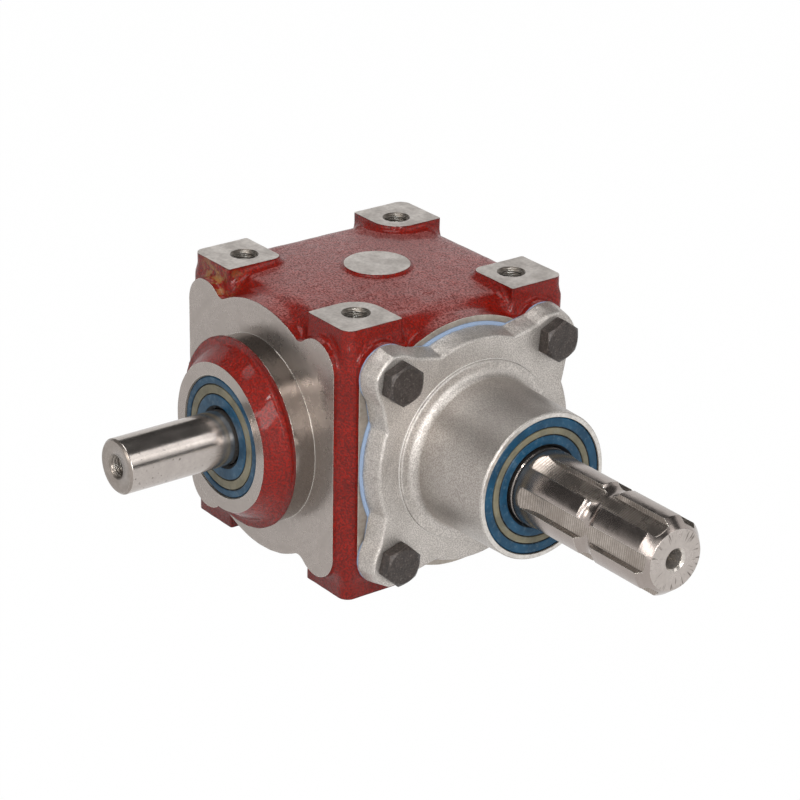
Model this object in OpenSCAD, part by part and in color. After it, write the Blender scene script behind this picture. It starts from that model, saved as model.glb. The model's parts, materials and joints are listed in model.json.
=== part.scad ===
// Right-angle bevel gearbox for tractor power take-off drives.
// The origin lies on the base pads, under the point where both shaft axes cross.
// The splined input shaft points along +X and the plain output shaft along -Y.

/* [Housing casting] */
// Height of both shaft axes above the base pads
axis_h = 63.5; // [63:0.5:70]
// Distance between two opposite machined faces
face_span = 127; // [114:0.5:132]
// How far the machined faces stand out past the painted walls
face_rise = 4.5; // [3.5:0.5:5]
// Height of the corner pads above the painted top and bottom
pad_rise = 3.5; // [3:0.5:6]
// Height of the gentle dome in the middle of the top and the bottom
dome_rise = 2.5; // [1:0.5:2.5]
// Radius of the cast edges along the top and the bottom
edge_r = 12; // [5:1:14]
// Radius of the four upright cast corners
corner_r = 5; // [3:0.5:7]
// Radius of the hollow that the gears turn in
cavity_r = 50; // [49.5:0.5:51]

/* [Mounting pads] */
// Side of each square corner pad
pad_w = 29; // [26:1:30]
// Spacing of the threaded holes in the pads
pad_pitch = 85; // [82:0.5:86]
// Core diameter of the threads in the top pads (M12)
pad_hole_d = 10.2; // [8.5:0.1:12]
// Core diameter of the threads in the base pads (M12, drilled a little wider)
base_hole_d = 10.3; // [8.5:0.1:12]
// Depth of the pad threads
pad_hole_depth = 14; // [10:0.5:14]
// Width of the countersink around each pad thread
pad_sink_d = 13; // [12.5:0.1:15]
// Inner corner radius of the pads on the shaft corner and opposite it
pad_soft_r = 13; // [8:1:14]
// Inner corner radius of the two other pads
pad_hard_r = 5; // [3:1:8]
// Diameter of the round boss in the middle of the top and the bottom
centre_boss_d = 29; // [20:1:36]

/* [Machined faces] */
// Radius of the round part of each machined face
face_r = 58.5; // [57.5:0.5:59.5]
// Radius of the round part of the two unmachined sides
plain_r = 52; // [50:0.5:54]
// Radius of the lobes at the corners of each face
lobe_r = 13.5; // [12.5:0.5:14]
// Radius of the valleys between the round part and the lobes
valley_r = 4; // [2:0.5:6]
// Width across the straight sides of each face
face_w = 112; // [110:1:114]
// How far the two unmachined sides stand out past the painted walls
plain_rise = 3; // [1:0.5:4]
// Diameter of the machined end around the tail bearing
tail_face_d = 62; // [56:1:70]

/* [Output boss] */
// Diameter of the turned pilot around the output shaft
pilot_d = 85; // [80:1:90]
// Length of the turned pilot
pilot_len = 10; // [6:1:12]
// Diameter of the cast cone where it leaves the pilot
cone_d = 82; // [76:1:84]
// Diameter of the machined end of the cast cone
cone_end_d = 68; // [64:1:72]
// Distance from the machined face to the end of the cast cone
boss_reach = 21; // [19:0.5:26]

/* [Input cover] */
// Thickness of the gasket under the cover
gasket_t = 0.5; // [0.3:0.1:1]
// How far the gasket stands out past the rounded sides of the cover
gasket_show = 1.5; // [0:0.5:2.5]
// Thickness of the cover flange
flange_t = 9.5; // [8:0.5:12]
// Radius of the round part of the cover flange
flange_r = 54; // [52:0.5:55.5]
// Radius of the bolt ears
ear_r = 13.5; // [12:0.5:14]
// Distance of each ear web from the shaft axis
ear_web = 20; // [16:1:26]
// Draft of the flange edge over its thickness
flange_draft = 2; // [1:0.5:3]
// Rounding of the front edge of the flange
flange_round = 1.5; // [0.5:0.5:2.5]
// Diameter of the raised ring on the flange
ring_d = 83; // [78:1:86]
// Height of the raised ring
ring_rise = 1.5; // [1:0.5:3]
// Distance from the machined face to the end of the snout
snout_reach = 56; // [52:0.5:66]
// Diameter of the snout at its root
snout_root_d = 69.5; // [68:0.5:72]
// Diameter of the snout at its end
snout_end_d = 67; // [66:0.5:68]
// Radius of the cast fillet between the ring and the snout
snout_fillet = 4; // [2:0.5:6]
// Diameter of the pilot that centres the cover in the housing
cover_pilot_d = 96; // [94:0.5:98]
// Running clearance between the cover pilot and its bore
pilot_gap = 0.05; // [0.02:0.01:0.1]

/* [Cover bolts] */
// Spacing of the four cover bolts
bolt_pitch = 85; // [82:0.5:86]
// Thread diameter of the cover bolts
bolt_d = 10; // [8:1:10]
// Length of the cover bolts under the head
bolt_len = 25; // [20:1:26]
// Width of the bolt heads across flats
bolt_af = 17; // [13:1:18]
// Height of the bolt heads
bolt_head_h = 6.4; // [5:0.2:8]
// Clearance around each bolt shank
bolt_gap = 0.1; // [0.05:0.05:0.3]

/* [Ball bearings] */
// Bore of the bearing beside the crown gear
gear_brg_bore = 40; // [40:0.5:42]
// Outer diameter of the bearing beside the crown gear
gear_brg_od = 80; // [76:1:82]
// Width of the bearing beside the crown gear
gear_brg_w = 18; // [16:0.5:18.5]
// Outer diameter of the bearing in the snout
snout_brg_od = 62; // [61:0.5:62.5]
// Width of the bearing in the snout
snout_brg_w = 14; // [12:0.5:16]
// Outer diameter of the bearing behind the output seal
pinion_brg_od = 55; // [54.5:0.5:57]
// Width of the bearing behind the output seal
pinion_brg_w = 13; // [11:0.5:14]
// Bore of the bearing at the tail of the output shaft
tail_brg_bore = 20; // [18:0.5:22]
// Outer diameter of the bearing at the tail of the output shaft
tail_brg_od = 42; // [40:1:47]
// Width of the bearing at the tail of the output shaft
tail_brg_w = 12; // [10:0.5:12]
// Play between a ball and its races
ball_play = 0.1; // [0.08:0.01:0.15]
// Fit of a bearing ring on its seat
ring_fit = 0.02; // [0.01:0.01:0.04]

/* [Seals] */
// Width of both shaft seals
seal_w = 10; // [8:0.5:10]
// Depth of both seals below the end of their bore
seal_sink = 0.4; // [0.2:0.1:1]
// Gap between the visible mouth of a seal and its shaft
seal_mouth = 1.1; // [0.8:0.1:1.8]
// Gap between a sealing lip and its shaft
lip_gap = 0.05; // [0.03:0.01:0.1]
// Width of the pale ring in the input seal
input_insert_w = 2.9; // [2:0.1:3.4]
// Width of the pale ring in the output seal
output_insert_w = 4.1; // [3:0.1:4.5]

/* [Bevel gears] */
// Module of the bevel teeth at the outer end
gear_module = 3; // [2.9:0.05:3]
// Teeth on the crown gear
crown_teeth = 24; // [24:1:24]
// Teeth on the pinion
pinion_teeth = 16; // [16:1:16]
// Face width of the teeth
tooth_face = 12; // [9:0.5:13]
// Pressure angle of the teeth
pressure_angle = 20; // [20:0.5:22.5]
// Backlash between the teeth, measured along the pitch circle
backlash = 0.3; // [0.25:0.05:0.5]
// Thickness of the crown gear behind its teeth
crown_back = 9; // [7:0.5:10]
// Diameter of the crown gear hub
crown_hub_d = 50; // [46:1:52]
// Bore of the crown gear
crown_bore_d = 38; // [34:1:39]

/* [Splined input shaft] */
// Outer diameter of the splines
spline_d = 34.9; // [33:0.1:35]
// Root diameter of the splines
spline_root_d = 29.65; // [28:0.05:30.5]
// Width of each spline
spline_w = 8.64; // [8:0.02:9.5]
// Length of the shaft beyond the cover
input_reach = 84; // [76:1:95]
// Length of the full-depth splines
spline_len = 66; // [56:1:68]
// Radius of the cutter that leaves the curved run-out
runout_r = 38; // [20:1:45]
// Distance of the locking groove from the shaft end
groove_x = 38; // [32:1:42]
// Radius of the locking groove
groove_r = 6.8; // [5.5:0.1:7.5]
// Diameter at the bottom of the locking groove
groove_d = 29.4; // [28:0.1:30.5]
// Diameter of the flat end of the splined shaft
spline_end_d = 27; // [24:0.5:29]
// Length of the chamfer at the end of the splined shaft
spline_chamfer = 5; // [3:0.5:7]
// Diameter of the shaft through the input seal
seal_seat_d = 35; // [35:0.1:35.4]
// Diameter of the centre hole in the splined end
centre_hole_d = 8.6; // [6:0.2:10]
// Depth of the centre hole in the splined end
centre_hole_depth = 18; // [12:1:24]

/* [Plain output shaft] */
// Diameter of the free end of the output shaft
output_d = 25; // [24:0.1:27]
// Length of the free end beyond the boss
output_reach = 53.2; // [46:0.5:66]
// Diameter of the output shaft through its seal and bearing
output_seat_d = 30; // [29.5:0.1:30.5]
// Core diameter of the thread in the shaft end (M10)
end_hole_d = 8.5; // [6.8:0.1:9]
// Depth of the thread in the shaft end
end_hole_depth = 22; // [16:1:26]
// Width of the countersink in the shaft end
end_sink_d = 11.5; // [10:0.1:13]
// Chamfer on the shaft end
end_chamfer = 1; // [0.5:0.1:2]
// Width of the keyway
key_w = 8; // [6:0.5:8]
// Depth of the keyway
key_sink = 4; // [3:0.5:5]
// Length of the keyway
key_len = 40; // [30:1:42]
// Direction of the keyway, turned from the input side towards the top
key_turn = 209; // [0:1:359]

/* [Oil plugs] */
// Thread diameter of the oil plugs
plug_d = 16.6; // [13:0.1:17]
// Width of the plug heads across flats
plug_af = 22; // [17:1:24]
// Height of the plug heads
plug_head_h = 7; // [5:0.5:9]
// Distance of the drain and filler plugs from the shaft axis
plug_offset = 36; // [32:1:37]

/* [Hidden] */

$fn = 72;
eps = 0.01;
far = 400;

paint_red = "firebrick";
bare_iron = [0.66, 0.63, 0.60];
cast_grey = [0.72, 0.70, 0.67];
bright_steel = [0.78, 0.77, 0.76];
dark_steel = [0.24, 0.21, 0.20];
seal_blue = [0.12, 0.30, 0.42];
seal_beige = [0.52, 0.49, 0.40];
gasket_blue = [0.62, 0.72, 0.86];
copper = [0.72, 0.45, 0.30];

// Machined faces and the painted walls, measured from the shaft axes.
face_at = face_span / 2;
wall_at = face_at - face_rise;
body_w = 2 * wall_at;
pad_at = axis_h;
deck_at = pad_at - pad_rise;
bolt_at = bolt_pitch / 2;
drill_past = 1.5;

// Stations along the input axis.
cover_x = face_at + gasket_t;
flange_x = cover_x + flange_t;
snout_x = face_at + snout_reach;
clip_t = 2;
shaft_clip_t = 1.6;
clip_groove = 1;
big_clip_groove = 1.5;
shim_t = 0.5;
bolt_hole_d = bolt_d + 1;
gasket_room = 1;
gear_brg_x = cover_x - shim_t - gear_brg_w;
gear_clip_x = gear_brg_x - clip_t;
clip_land = 3;
pilot_tip_x = gear_clip_x - clip_land;
input_seal_x = snout_x - seal_sink - seal_w;
snout_clip_x = input_seal_x - clip_t;
snout_brg_x = snout_clip_x - snout_brg_w;
snout_brg_bore = seal_seat_d;
input_end_x = snout_x + input_reach;
input_tail_x = 17;
crown_clip_x = input_tail_x + 2.2;
ring_shoulder = 3;
shoulder_d = gear_brg_bore + 2 * ring_shoulder;

// Stations along the output axis, counted from the crossing towards the free end.
boss_y = face_at + boss_reach;
output_seal_y = boss_y - seal_sink - seal_w;
pinion_clip_y = output_seal_y - clip_t;
pinion_brg_y = pinion_clip_y - pinion_brg_w;
pinion_stop_y = pinion_brg_y - clip_t;
output_end_y = boss_y + output_reach;
seat_end_y = boss_y - 2.5;
seat_step = 1;

// Stations along the tail of the output shaft, on the far side of the crossing.
tail_depth = 23;
tail_stop_y = face_at - tail_depth;
tail_lip = 3.5;
tail_brg_y = tail_stop_y + tail_lip;
tail_clip_y = tail_brg_y + tail_brg_w;
cap_y = tail_clip_y + clip_t;
tail_end_y = tail_clip_y + shaft_clip_t + 1.2;
cap_wall = 2;
tail_boss_wall = 9;
tail_boss_d = tail_brg_od + 2 * tail_boss_wall;
cap_sink = 0.5;
cap_chamfer = 1;

// Tooth proportions of the bevel pair.
crown_r = gear_module * crown_teeth / 2;
pinion_r = gear_module * pinion_teeth / 2;
crown_cone = atan(crown_teeth / pinion_teeth);
pinion_cone = 90 - crown_cone;
cone_len = norm([crown_r, pinion_r]);
addendum = 0.95 * gear_module;
dedendum = 1.25 * gear_module;
blank_depth = dedendum + 0.7;
blank_margin = 5;
flank_steps = 5;
clip_fit = 0.05;
key_fit = 0.02;

// Places a child that is drawn along +Z on one of the shaft axes.
module on_input() {
    translate([0, 0, axis_h])
        rotate([0, 90, 0])
            children();
}

module on_output() {
    translate([0, 0, axis_h])
        rotate([90, 0, 0])
            children();
}

module on_tail() {
    translate([0, 0, axis_h])
        rotate([-90, 0, 0])
            children();
}

// Repeats a child at the four corners of a square pattern.
module at_corners(half) {
    for (sx = [-1, 1], sy = [-1, 1])
        translate([sx * half, sy * half, 0])
            children();
}

module rounded_rect(w, h, r) {
    square([w - 2 * r, h], center = true);
    square([w, h - 2 * r], center = true);
    for (sx = [-1, 1], sy = [-1, 1])
        translate([sx * (w / 2 - r), sy * (h / 2 - r)])
            circle(r);
}

module tube(r_in, r_out, z0, z1) {
    translate([0, 0, z0])
        difference() {
            cylinder(r = r_out, h = z1 - z0);
            translate([0, 0, -1])
                cylinder(r = r_in, h = z1 - z0 + 2);
        }
}

// Centre of the valley circle that touches both the round part and a lobe.
function valley_centre(big_r, small_r, small_at, r) =
    let (d = small_at * sqrt(2))
    let (a = big_r + r, b = small_r + r)
    let (t = acos((a * a + d * d - b * b) / (2 * a * d)))
    [a * cos(45 + t), a * sin(45 + t)];

// An outline with a round middle, four lobes and filleted valleys between them.
module lobed_outline(big_r, small_r, small_at, r) {
    c = valley_centre(big_r, small_r, small_at, r);
    circle(big_r);
    for (sx = [0, 1], sy = [0, 1])
        mirror([sx, 0])
            mirror([0, sy]) {
                translate([small_at, small_at])
                    circle(small_r);
                difference() {
                    polygon([
                        [small_at / 2, small_at / 2],
                        c,
                        [small_at, small_at],
                        [c[1], c[0]]
                    ]);
                    translate(c)
                        circle(r + 2 * eps);
                    translate([c[1], c[0]])
                        circle(r + 2 * eps);
                }
            }
}

// The outline of one side of the casting, with straight edges from lobe to lobe.
module face_outline(round_r) {
    intersection() {
        union() {
            lobed_outline(round_r, lobe_r, bolt_at, valley_r);
            square([face_w, 2 * bolt_at], center = true);
        }
        square([face_w, 2 * deck_at], center = true);
    }
}

// A corner pad seen from above, with its own inner corner radius.
module pad_outline(inner_r) {
    lo = wall_at - pad_w;
    hi = wall_at;
    difference() {
        translate([lo, lo])
            square(pad_w);
        difference() {
            translate([lo - 1, lo - 1])
                square(inner_r + 1);
            translate([lo + inner_r, lo + inner_r])
                circle(inner_r);
        }
        difference() {
            translate([hi - corner_r, hi - corner_r])
                square(corner_r + 1);
            translate([hi - corner_r, hi - corner_r])
                circle(corner_r);
        }
    }
}

module pad_columns() {
    for (k = [0:3])
        rotate([0, 0, 90 * k])
            translate([0, 0, -pad_at])
                linear_extrude(2 * pad_at)
                    pad_outline(k % 2 == 0 ? pad_hard_r : pad_soft_r);
}

// The dome fades out at this radius; its profile is a flat parabola.
dome_r = 50;
dome_steps = 8;

module deck_dome() {
    arc = [for (k = [0:dome_steps])
        [dome_r * k / dome_steps, deck_at + dome_rise * (1 - pow(k / dome_steps, 2))]];
    rotate_extrude()
        polygon(concat([[0, 0]], arc, [[dome_r, 0]]));
}

module cast_cube() {
    deck_dome();
    mirror([0, 0, 1])
        deck_dome();
    intersection() {
        translate([0, 0, -deck_at])
            linear_extrude(2 * deck_at)
                rounded_rect(body_w, body_w, corner_r);
        rotate([90, 0, 0])
            translate([0, 0, -wall_at])
                linear_extrude(body_w)
                    rounded_rect(body_w, 2 * deck_at, edge_r);
        rotate([90, 0, 90])
            translate([0, 0, -wall_at])
                linear_extrude(body_w)
                    rounded_rect(body_w, 2 * deck_at, edge_r);
    }
}

module threaded_pad_hole(core) {
    translate([0, 0, -pad_hole_depth])
        cylinder(d = core, h = pad_hole_depth + 1);
    sink = (pad_sink_d - core) / 2;
    translate([0, 0, -sink])
        cylinder(d1 = core, d2 = pad_sink_d + 2 * eps, h = sink + eps);
}

module output_boss() {
    cylinder(d = pilot_d, h = face_at + pilot_len);
    translate([0, 0, face_at + pilot_len - eps])
        cylinder(d1 = cone_d, d2 = cone_end_d, h = boss_reach - pilot_len + eps);
}

module plug_hole() {
    translate([0, 0, wall_at - plug_thread_len + 1])
        cylinder(d = plug_d, h = 2 * plug_thread_len);
    translate([0, 0, cavity_r / 2])
        cylinder(d = plug_duct_d, h = wall_at);
}

plug_places = [[0, plug_offset], [0, 0], [0, -plug_offset]];
plug_seat = wall_at + plain_rise + 1;
plug_thread_len = 11;
plug_duct_d = 11;
plug_boss_d = plug_af + 8;
plug_collar_t = 2;
washer_t = 1.5;

module housing_form() {
    cast_cube();
    pad_columns();
    translate([0, 0, -pad_at])
        cylinder(d = centre_boss_d, h = 2 * pad_at);
    rotate([90, 0, 0])
        linear_extrude(face_at)
            face_outline(face_r);
    rotate([-90, 0, 0])
        cylinder(d = tail_face_d, h = face_at);
    rotate([90, 0, 90])
        linear_extrude(face_at)
            face_outline(face_r);
    rotate([-90, 0, 0])
        linear_extrude(wall_at + plain_rise)
            face_outline(plain_r);
    rotate([90, 0, -90])
        linear_extrude(wall_at + plain_rise)
            face_outline(plain_r);
    rotate([90, 0, 0])
        output_boss();
    for (p = plug_places)
        rotate([90, 0, -90])
            translate([p[0], p[1], 0])
                cylinder(d = plug_boss_d, h = plug_seat);
}

module housing() {
    color(paint_red)
        translate([0, 0, axis_h])
            difference() {
                housing_form();
                difference() {
                    sphere(cavity_r);
                    rotate([-90, 0, 0])
                        translate([0, 0, tail_stop_y])
                            cylinder(d = tail_boss_d, h = face_at);
                }
                rotate([0, 90, 0])
                    translate([0, 0, tail_boss_d / 2])
                        cylinder(d = cover_pilot_d, h = face_at);
                rotate([90, 0, 0])
                    translate([0, 0, cavity_r / 2])
                        cylinder(d = pinion_brg_od + 2 * ring_fit, h = boss_y);
                rotate([-90, 0, 0]) {
                    translate([0, 0, tail_brg_y])
                        cylinder(d = tail_brg_od + 2 * ring_fit, h = face_at);
                    cylinder(d = tail_brg_od - 2 * ring_shoulder, h = face_at);
                    tube(eps, tail_brg_od / 2 + clip_groove, tail_clip_y, tail_clip_y + clip_t);
                }
                rotate([90, 0, 0]) {
                    tube(eps, pinion_brg_od / 2 + clip_groove, pinion_clip_y, pinion_clip_y + clip_t);
                    tube(eps, pinion_brg_od / 2 + clip_groove, pinion_stop_y, pinion_stop_y + clip_t);
                }
                for (flip = [0, 1])
                    mirror([0, 0, flip])
                        translate([0, 0, pad_at])
                            at_corners(pad_pitch / 2)
                                threaded_pad_hole(flip == 0 ? pad_hole_d : base_hole_d);
                rotate([90, 0, 90])
                    translate([0, 0, flange_x - bolt_len - drill_past])
                        at_corners(bolt_at)
                            cylinder(d = bolt_d + 2 * bolt_gap, h = bolt_len);
                for (p = plug_places)
                    rotate([90, 0, -90])
                        translate([p[0], p[1], 0])
                            plug_hole();
            }
}

// The cover flange: a drafted disc with four drafted ears and straight webs.
module drafted_disc(r, t, draft, round) {
    top_r = r - draft;
    arc = [for (a = [0:15:90]) [top_r - round + round * cos(a), t - round + round * sin(a)]];
    rotate_extrude()
        polygon(concat([[0, 0], [r, 0]], arc, [[0, t]]));
}

module ear_web_outline(r, ear) {
    reach = sqrt(r * r - ear_web * ear_web);
    tip = bolt_at + ear * cos(75);
    far_side = bolt_at + ear * sin(75);
    polygon([[0, 0], [ear_web, reach], [tip, far_side], [far_side, tip], [reach, ear_web]]);
}

module cover_flange(t) {
    drafted_disc(flange_r, t, flange_draft, flange_round);
    for (k = [0:3])
        rotate([0, 0, 90 * k]) {
            translate([bolt_at, bolt_at, 0])
                drafted_disc(ear_r, t, flange_draft, flange_round);
            linear_extrude(t - flange_round / 2)
                ear_web_outline(flange_r - flange_draft, ear_r - flange_draft);
        }
}

ring_break = 0.6;
snout_break = 1.2;

module cover_turning() {
    root = snout_root_d / 2;
    top = flange_t + ring_rise;
    len = snout_x - cover_x;
    fillet = [for (a = [0:15:90])
        [root + snout_fillet * (1 - sin(a)), top + snout_fillet * (1 - cos(a))]];
    rotate_extrude()
        polygon(concat(
            [[0, 0], [ring_d / 2, 0], [ring_d / 2, top - ring_break], [ring_d / 2 - ring_break, top]],
            fillet,
            [[snout_end_d / 2, len - snout_break], [snout_end_d / 2 - snout_break, len], [0, len]]));
}

module flange_cover() {
    color(cast_grey)
        on_input()
            difference() {
                union() {
                    translate([0, 0, cover_x]) {
                        cover_flange(flange_t);
                        cover_turning();
                    }
                    translate([0, 0, pilot_tip_x])
                        cylinder(d = cover_pilot_d - 2 * pilot_gap, h = cover_x - pilot_tip_x + 1);
                }
                translate([0, 0, pilot_tip_x - 1])
                    cylinder(d = gear_brg_od + 2 * ring_fit, h = cover_x - pilot_tip_x + 1);
                translate([0, 0, cover_x - 1])
                    cylinder(d = snout_brg_od - 2 * ring_shoulder, h = snout_reach);
                translate([0, 0, snout_brg_x])
                    cylinder(d = snout_brg_od + 2 * ring_fit, h = snout_reach);
                tube(eps, gear_brg_od / 2 + big_clip_groove, gear_clip_x, gear_clip_x + clip_t);
                tube(eps, snout_brg_od / 2 + clip_groove, snout_clip_x, snout_clip_x + clip_t);
                at_corners(bolt_at)
                    translate([0, 0, pilot_tip_x])
                        cylinder(d = bolt_hole_d, h = far);
            }
}

module gasket_blank() {
    cylinder(r = flange_r + gasket_show, h = gasket_t);
    for (k = [0:3])
        rotate([0, 0, 90 * k]) {
            translate([bolt_at, bolt_at, 0])
                cylinder(r = ear_r, h = gasket_t);
            linear_extrude(gasket_t)
                ear_web_outline(flange_r, ear_r - flange_draft / 2);
        }
}

module cover_gasket() {
    color(gasket_blue)
        on_input()
            translate([0, 0, face_at])
                difference() {
                    gasket_blank();
                    translate([0, 0, -1])
                        cylinder(d = cover_pilot_d + gasket_room, h = gasket_t + 2);
                    at_corners(bolt_at)
                        translate([0, 0, -1])
                            cylinder(d = bolt_hole_d, h = gasket_t + 2);
                }
}

module hex_bolt(d, len, af, head_h) {
    across = af / cos(30);
    crown = (across - af) / 2 * 0.6;
    translate([0, 0, -len])
        cylinder(d = d, h = len + eps);
    intersection() {
        cylinder(d = across, h = head_h, $fn = 6);
        union() {
            cylinder(d = across, h = head_h - crown);
            translate([0, 0, head_h - crown - eps])
                cylinder(d1 = across, d2 = af * 0.96, h = crown + eps);
        }
    }
}

// Turn of each bolt head, as it was left when tightened.
head_turns = [12, 24, -8, 16];

module cover_bolts() {
    color(dark_steel)
        on_input()
            for (k = [0:3])
                rotate([0, 0, 90 * k])
                    translate([bolt_at, bolt_at, flange_x])
                        rotate([0, 0, head_turns[k]])
                            hex_bolt(bolt_d, bolt_len, bolt_af, bolt_head_h);
}

// One gap between two splines, with the curved run-out that the cutter leaves.
module spline_gap() {
    start = input_end_x - spline_len;
    intersection() {
        translate([0, 0, start - runout_r])
            linear_extrude(spline_len + runout_r + 1)
                difference() {
                    rotate(30)
                        translate([0, -spline_d / 2])
                            square([spline_d, spline_d]);
                    circle(d = spline_root_d);
                    for (k = [0, 1])
                        rotate(60 * k)
                            translate([0, -spline_w / 2])
                                square([spline_d * 2, spline_w]);
                    rotate(60)
                        square([spline_d * 2, spline_d * 2]);
                    rotate(-90)
                        square([spline_d * 2, spline_d * 2]);
                }
        rotate([0, 0, 30]) {
            translate([spline_root_d / 2 + runout_r, spline_d, start])
                rotate([90, 0, 0])
                    cylinder(r = runout_r, h = 2 * spline_d);
            translate([0, -spline_d, start])
                cube([spline_d, 2 * spline_d, spline_len + 1]);
        }
    }
}

// The turned input shaft with six milled gaps, a locking groove and a centre hole.
centre_break = 1;

module input_shaft() {
    color(bright_steel)
        on_input()
            difference() {
                rotate_extrude()
                    polygon([
                        [0, input_tail_x],
                        [crown_bore_d / 2 - 1, input_tail_x],
                        [crown_bore_d / 2 - ring_fit, input_tail_x + 1],
                        [crown_bore_d / 2 - ring_fit, gear_brg_x],
                        [gear_brg_bore / 2 - ring_fit, gear_brg_x],
                        [gear_brg_bore / 2 - ring_fit, cover_x - shim_t],
                        [shoulder_d / 2, cover_x - shim_t],
                        [shoulder_d / 2, snout_brg_x],
                        [snout_brg_bore / 2 - ring_fit, snout_brg_x],
                        [snout_brg_bore / 2 - ring_fit, snout_x],
                        [spline_d / 2, snout_x + 1],
                        [spline_d / 2, input_end_x - spline_chamfer],
                        [spline_end_d / 2, input_end_x],
                        [0, input_end_x]
                    ]);
                for (k = [0:5])
                    rotate([0, 0, 60 * k])
                        spline_gap();
                translate([0, 0, input_end_x - groove_x])
                    rotate_extrude()
                        translate([groove_d / 2 + groove_r, 0])
                            circle(groove_r);
                translate([0, 0, input_end_x - centre_hole_depth])
                    cylinder(d = centre_hole_d, h = centre_hole_depth + 1);
                translate([0, 0, input_end_x - centre_break])
                    cylinder(d1 = centre_hole_d, d2 = centre_hole_d + 2 * centre_break, h = centre_break + eps);
                shaft_circlip_groove(crown_bore_d, crown_clip_x);
                shaft_circlip_groove(snout_brg_bore, snout_clip_x);
                crown_key_space(key_fit);
            }
}

// Circlips: a shaft ring grips a groove from outside, a bore ring from inside.
clip_depth = 0.9;
clip_width = 3;
clip_height = 2;
small_clip_height = 1.5;
clip_opening = 6;

module shaft_circlip_groove(d, z0) {
    tube(d / 2 - clip_depth, d / 2 + 2, z0, z0 + shaft_clip_t + clip_fit);
}

module circlip_gap(a) {
    rotate([0, 0, a])
        translate([0, -clip_opening / 2, -1])
            cube([far, clip_opening, far]);
}

module shaft_circlip(d, z0, room) {
    inner = d / 2 - clip_depth + clip_fit;
    difference() {
        tube(inner, d / 2 + room, z0 + clip_fit / 2, z0 + shaft_clip_t);
        translate([0, 0, z0])
            circlip_gap(90);
    }
}

module bore_circlip(d, depth, z0) {
    outer = d / 2 + depth - clip_fit;
    difference() {
        tube(d / 2 - clip_width, outer, z0 + clip_fit, z0 + clip_t - clip_fit);
        translate([0, 0, z0])
            circlip_gap(90);
    }
}

module input_bore_circlips() {
    color(dark_steel)
        on_input() {
            bore_circlip(gear_brg_od, big_clip_groove, gear_clip_x);
            bore_circlip(snout_brg_od, clip_groove, snout_clip_x);
        }
}

module input_shaft_circlips() {
    color(dark_steel)
        on_input() {
            shaft_circlip(crown_bore_d, crown_clip_x, clip_height);
            shaft_circlip(snout_brg_bore, snout_clip_x, clip_height);
        }
}

// Bevel gears. The outline is the involute of the equivalent spur gear, laid on
// the back cone and seen from the apex, so one scaled extrusion gives true teeth.
function involute_at(base_r, rho) =
    let (t = sqrt(max(0, rho * rho / (base_r * base_r) - 1)))
    t * 180 / PI - atan(t);

function half_tooth(r_eq, z_eq, rho) =
    let (base_r = r_eq * cos(pressure_angle))
    let (at_pitch = 90 / z_eq - backlash / 4 / r_eq * 180 / PI)
    at_pitch + involute_at(base_r, r_eq) - involute_at(base_r, max(rho, base_r));

function from_apex(rho, phi, cone) =
    let (z = cone_len / cos(cone) - rho * sin(cone))
    let (r = rho * cos(cone) * cone_len * cos(cone) / z)
    [r * cos(phi / cos(cone)), r * sin(phi / cos(cone))];

function tooth_flank(pitch_r, cone, teeth, side) =
    let (r_eq = pitch_r / cos(cone), z_eq = teeth / cos(cone))
    [for (k = [0:flank_steps])
        let (rho = r_eq - dedendum + (addendum + dedendum) * k / flank_steps)
        [rho, side * half_tooth(r_eq, z_eq, rho)]];

function reversed(list) = [for (k = [len(list) - 1:-1:0]) list[k]];

function turned(p, a) = [p[0] * cos(a) - p[1] * sin(a), p[0] * sin(a) + p[1] * cos(a)];

function bevel_outline(pitch_r, cone, teeth, first) = [
    for (k = [0:teeth - 1])
        let (right = tooth_flank(pitch_r, cone, teeth, -1))
        let (left = reversed(tooth_flank(pitch_r, cone, teeth, 1)))
        for (p = concat(right, left))
            turned(from_apex(p[0], p[1], cone), first + 360 * k / teeth)
];

// The toothed cone between two distances from the apex.
module toothed_cone(pitch_r, cone, teeth, first, z_far, z_near) {
    z_pitch = cone_len * cos(cone);
    translate([0, 0, z_far])
        mirror([0, 0, 1])
            linear_extrude(z_far - z_near, scale = z_near / z_far)
                polygon(bevel_outline(pitch_r, cone, teeth, first) * z_far / z_pitch);
}

// Cross-section of the tooth ring between both back cones, as [radius, height].
function cone_point(along, above, cone) =
    [along * sin(cone) + above * cos(cone), along * cos(cone) - above * sin(cone)];

module crown_gear() {
    heel_tip = cone_point(cone_len, addendum + 1, crown_cone);
    heel_root = cone_point(cone_len, -blank_depth, crown_cone);
    toe_len = cone_len - tooth_face;
    toe_tip = cone_point(toe_len, addendum + 1, crown_cone);
    toe_root = cone_point(toe_len, -blank_depth, crown_cone);
    back = heel_root[1] + crown_back;
    seat = crown_clip_x + shaft_clip_t + clip_fit;
    hub = crown_hub_d / 2;
    color(bright_steel)
        on_input()
            difference() {
                intersection() {
                    toothed_cone(crown_r, crown_cone, crown_teeth, 90,
                        gear_brg_x + blank_margin, toe_tip[1] - blank_margin);
                    rotate_extrude()
                        polygon([
                            [0, seat],
                            [toe_root[0] - 1, seat],
                            toe_root,
                            toe_tip,
                            heel_tip,
                            heel_root,
                            [heel_root[0] - 1, back],
                            [hub, back],
                            [hub, gear_brg_x],
                            [0, gear_brg_x]
                        ]);
                }
                translate([0, 0, -1])
                    cylinder(d = crown_bore_d, h = far);
                crown_key_space(key_fit);
            }
}

crown_key_w = 10;
crown_key_out = 3.3;
crown_key_in = 5;

module crown_key_space(gap) {
    x0 = input_tail_x + 5;
    x1 = gear_brg_x - 1;
    translate([-crown_key_w / 2 - gap, crown_bore_d / 2 - crown_key_in - gap, x0 - gap])
        cube([crown_key_w + 2 * gap, crown_key_in + crown_key_out + 2 * gap, x1 - x0 + 2 * gap]);
}

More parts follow.
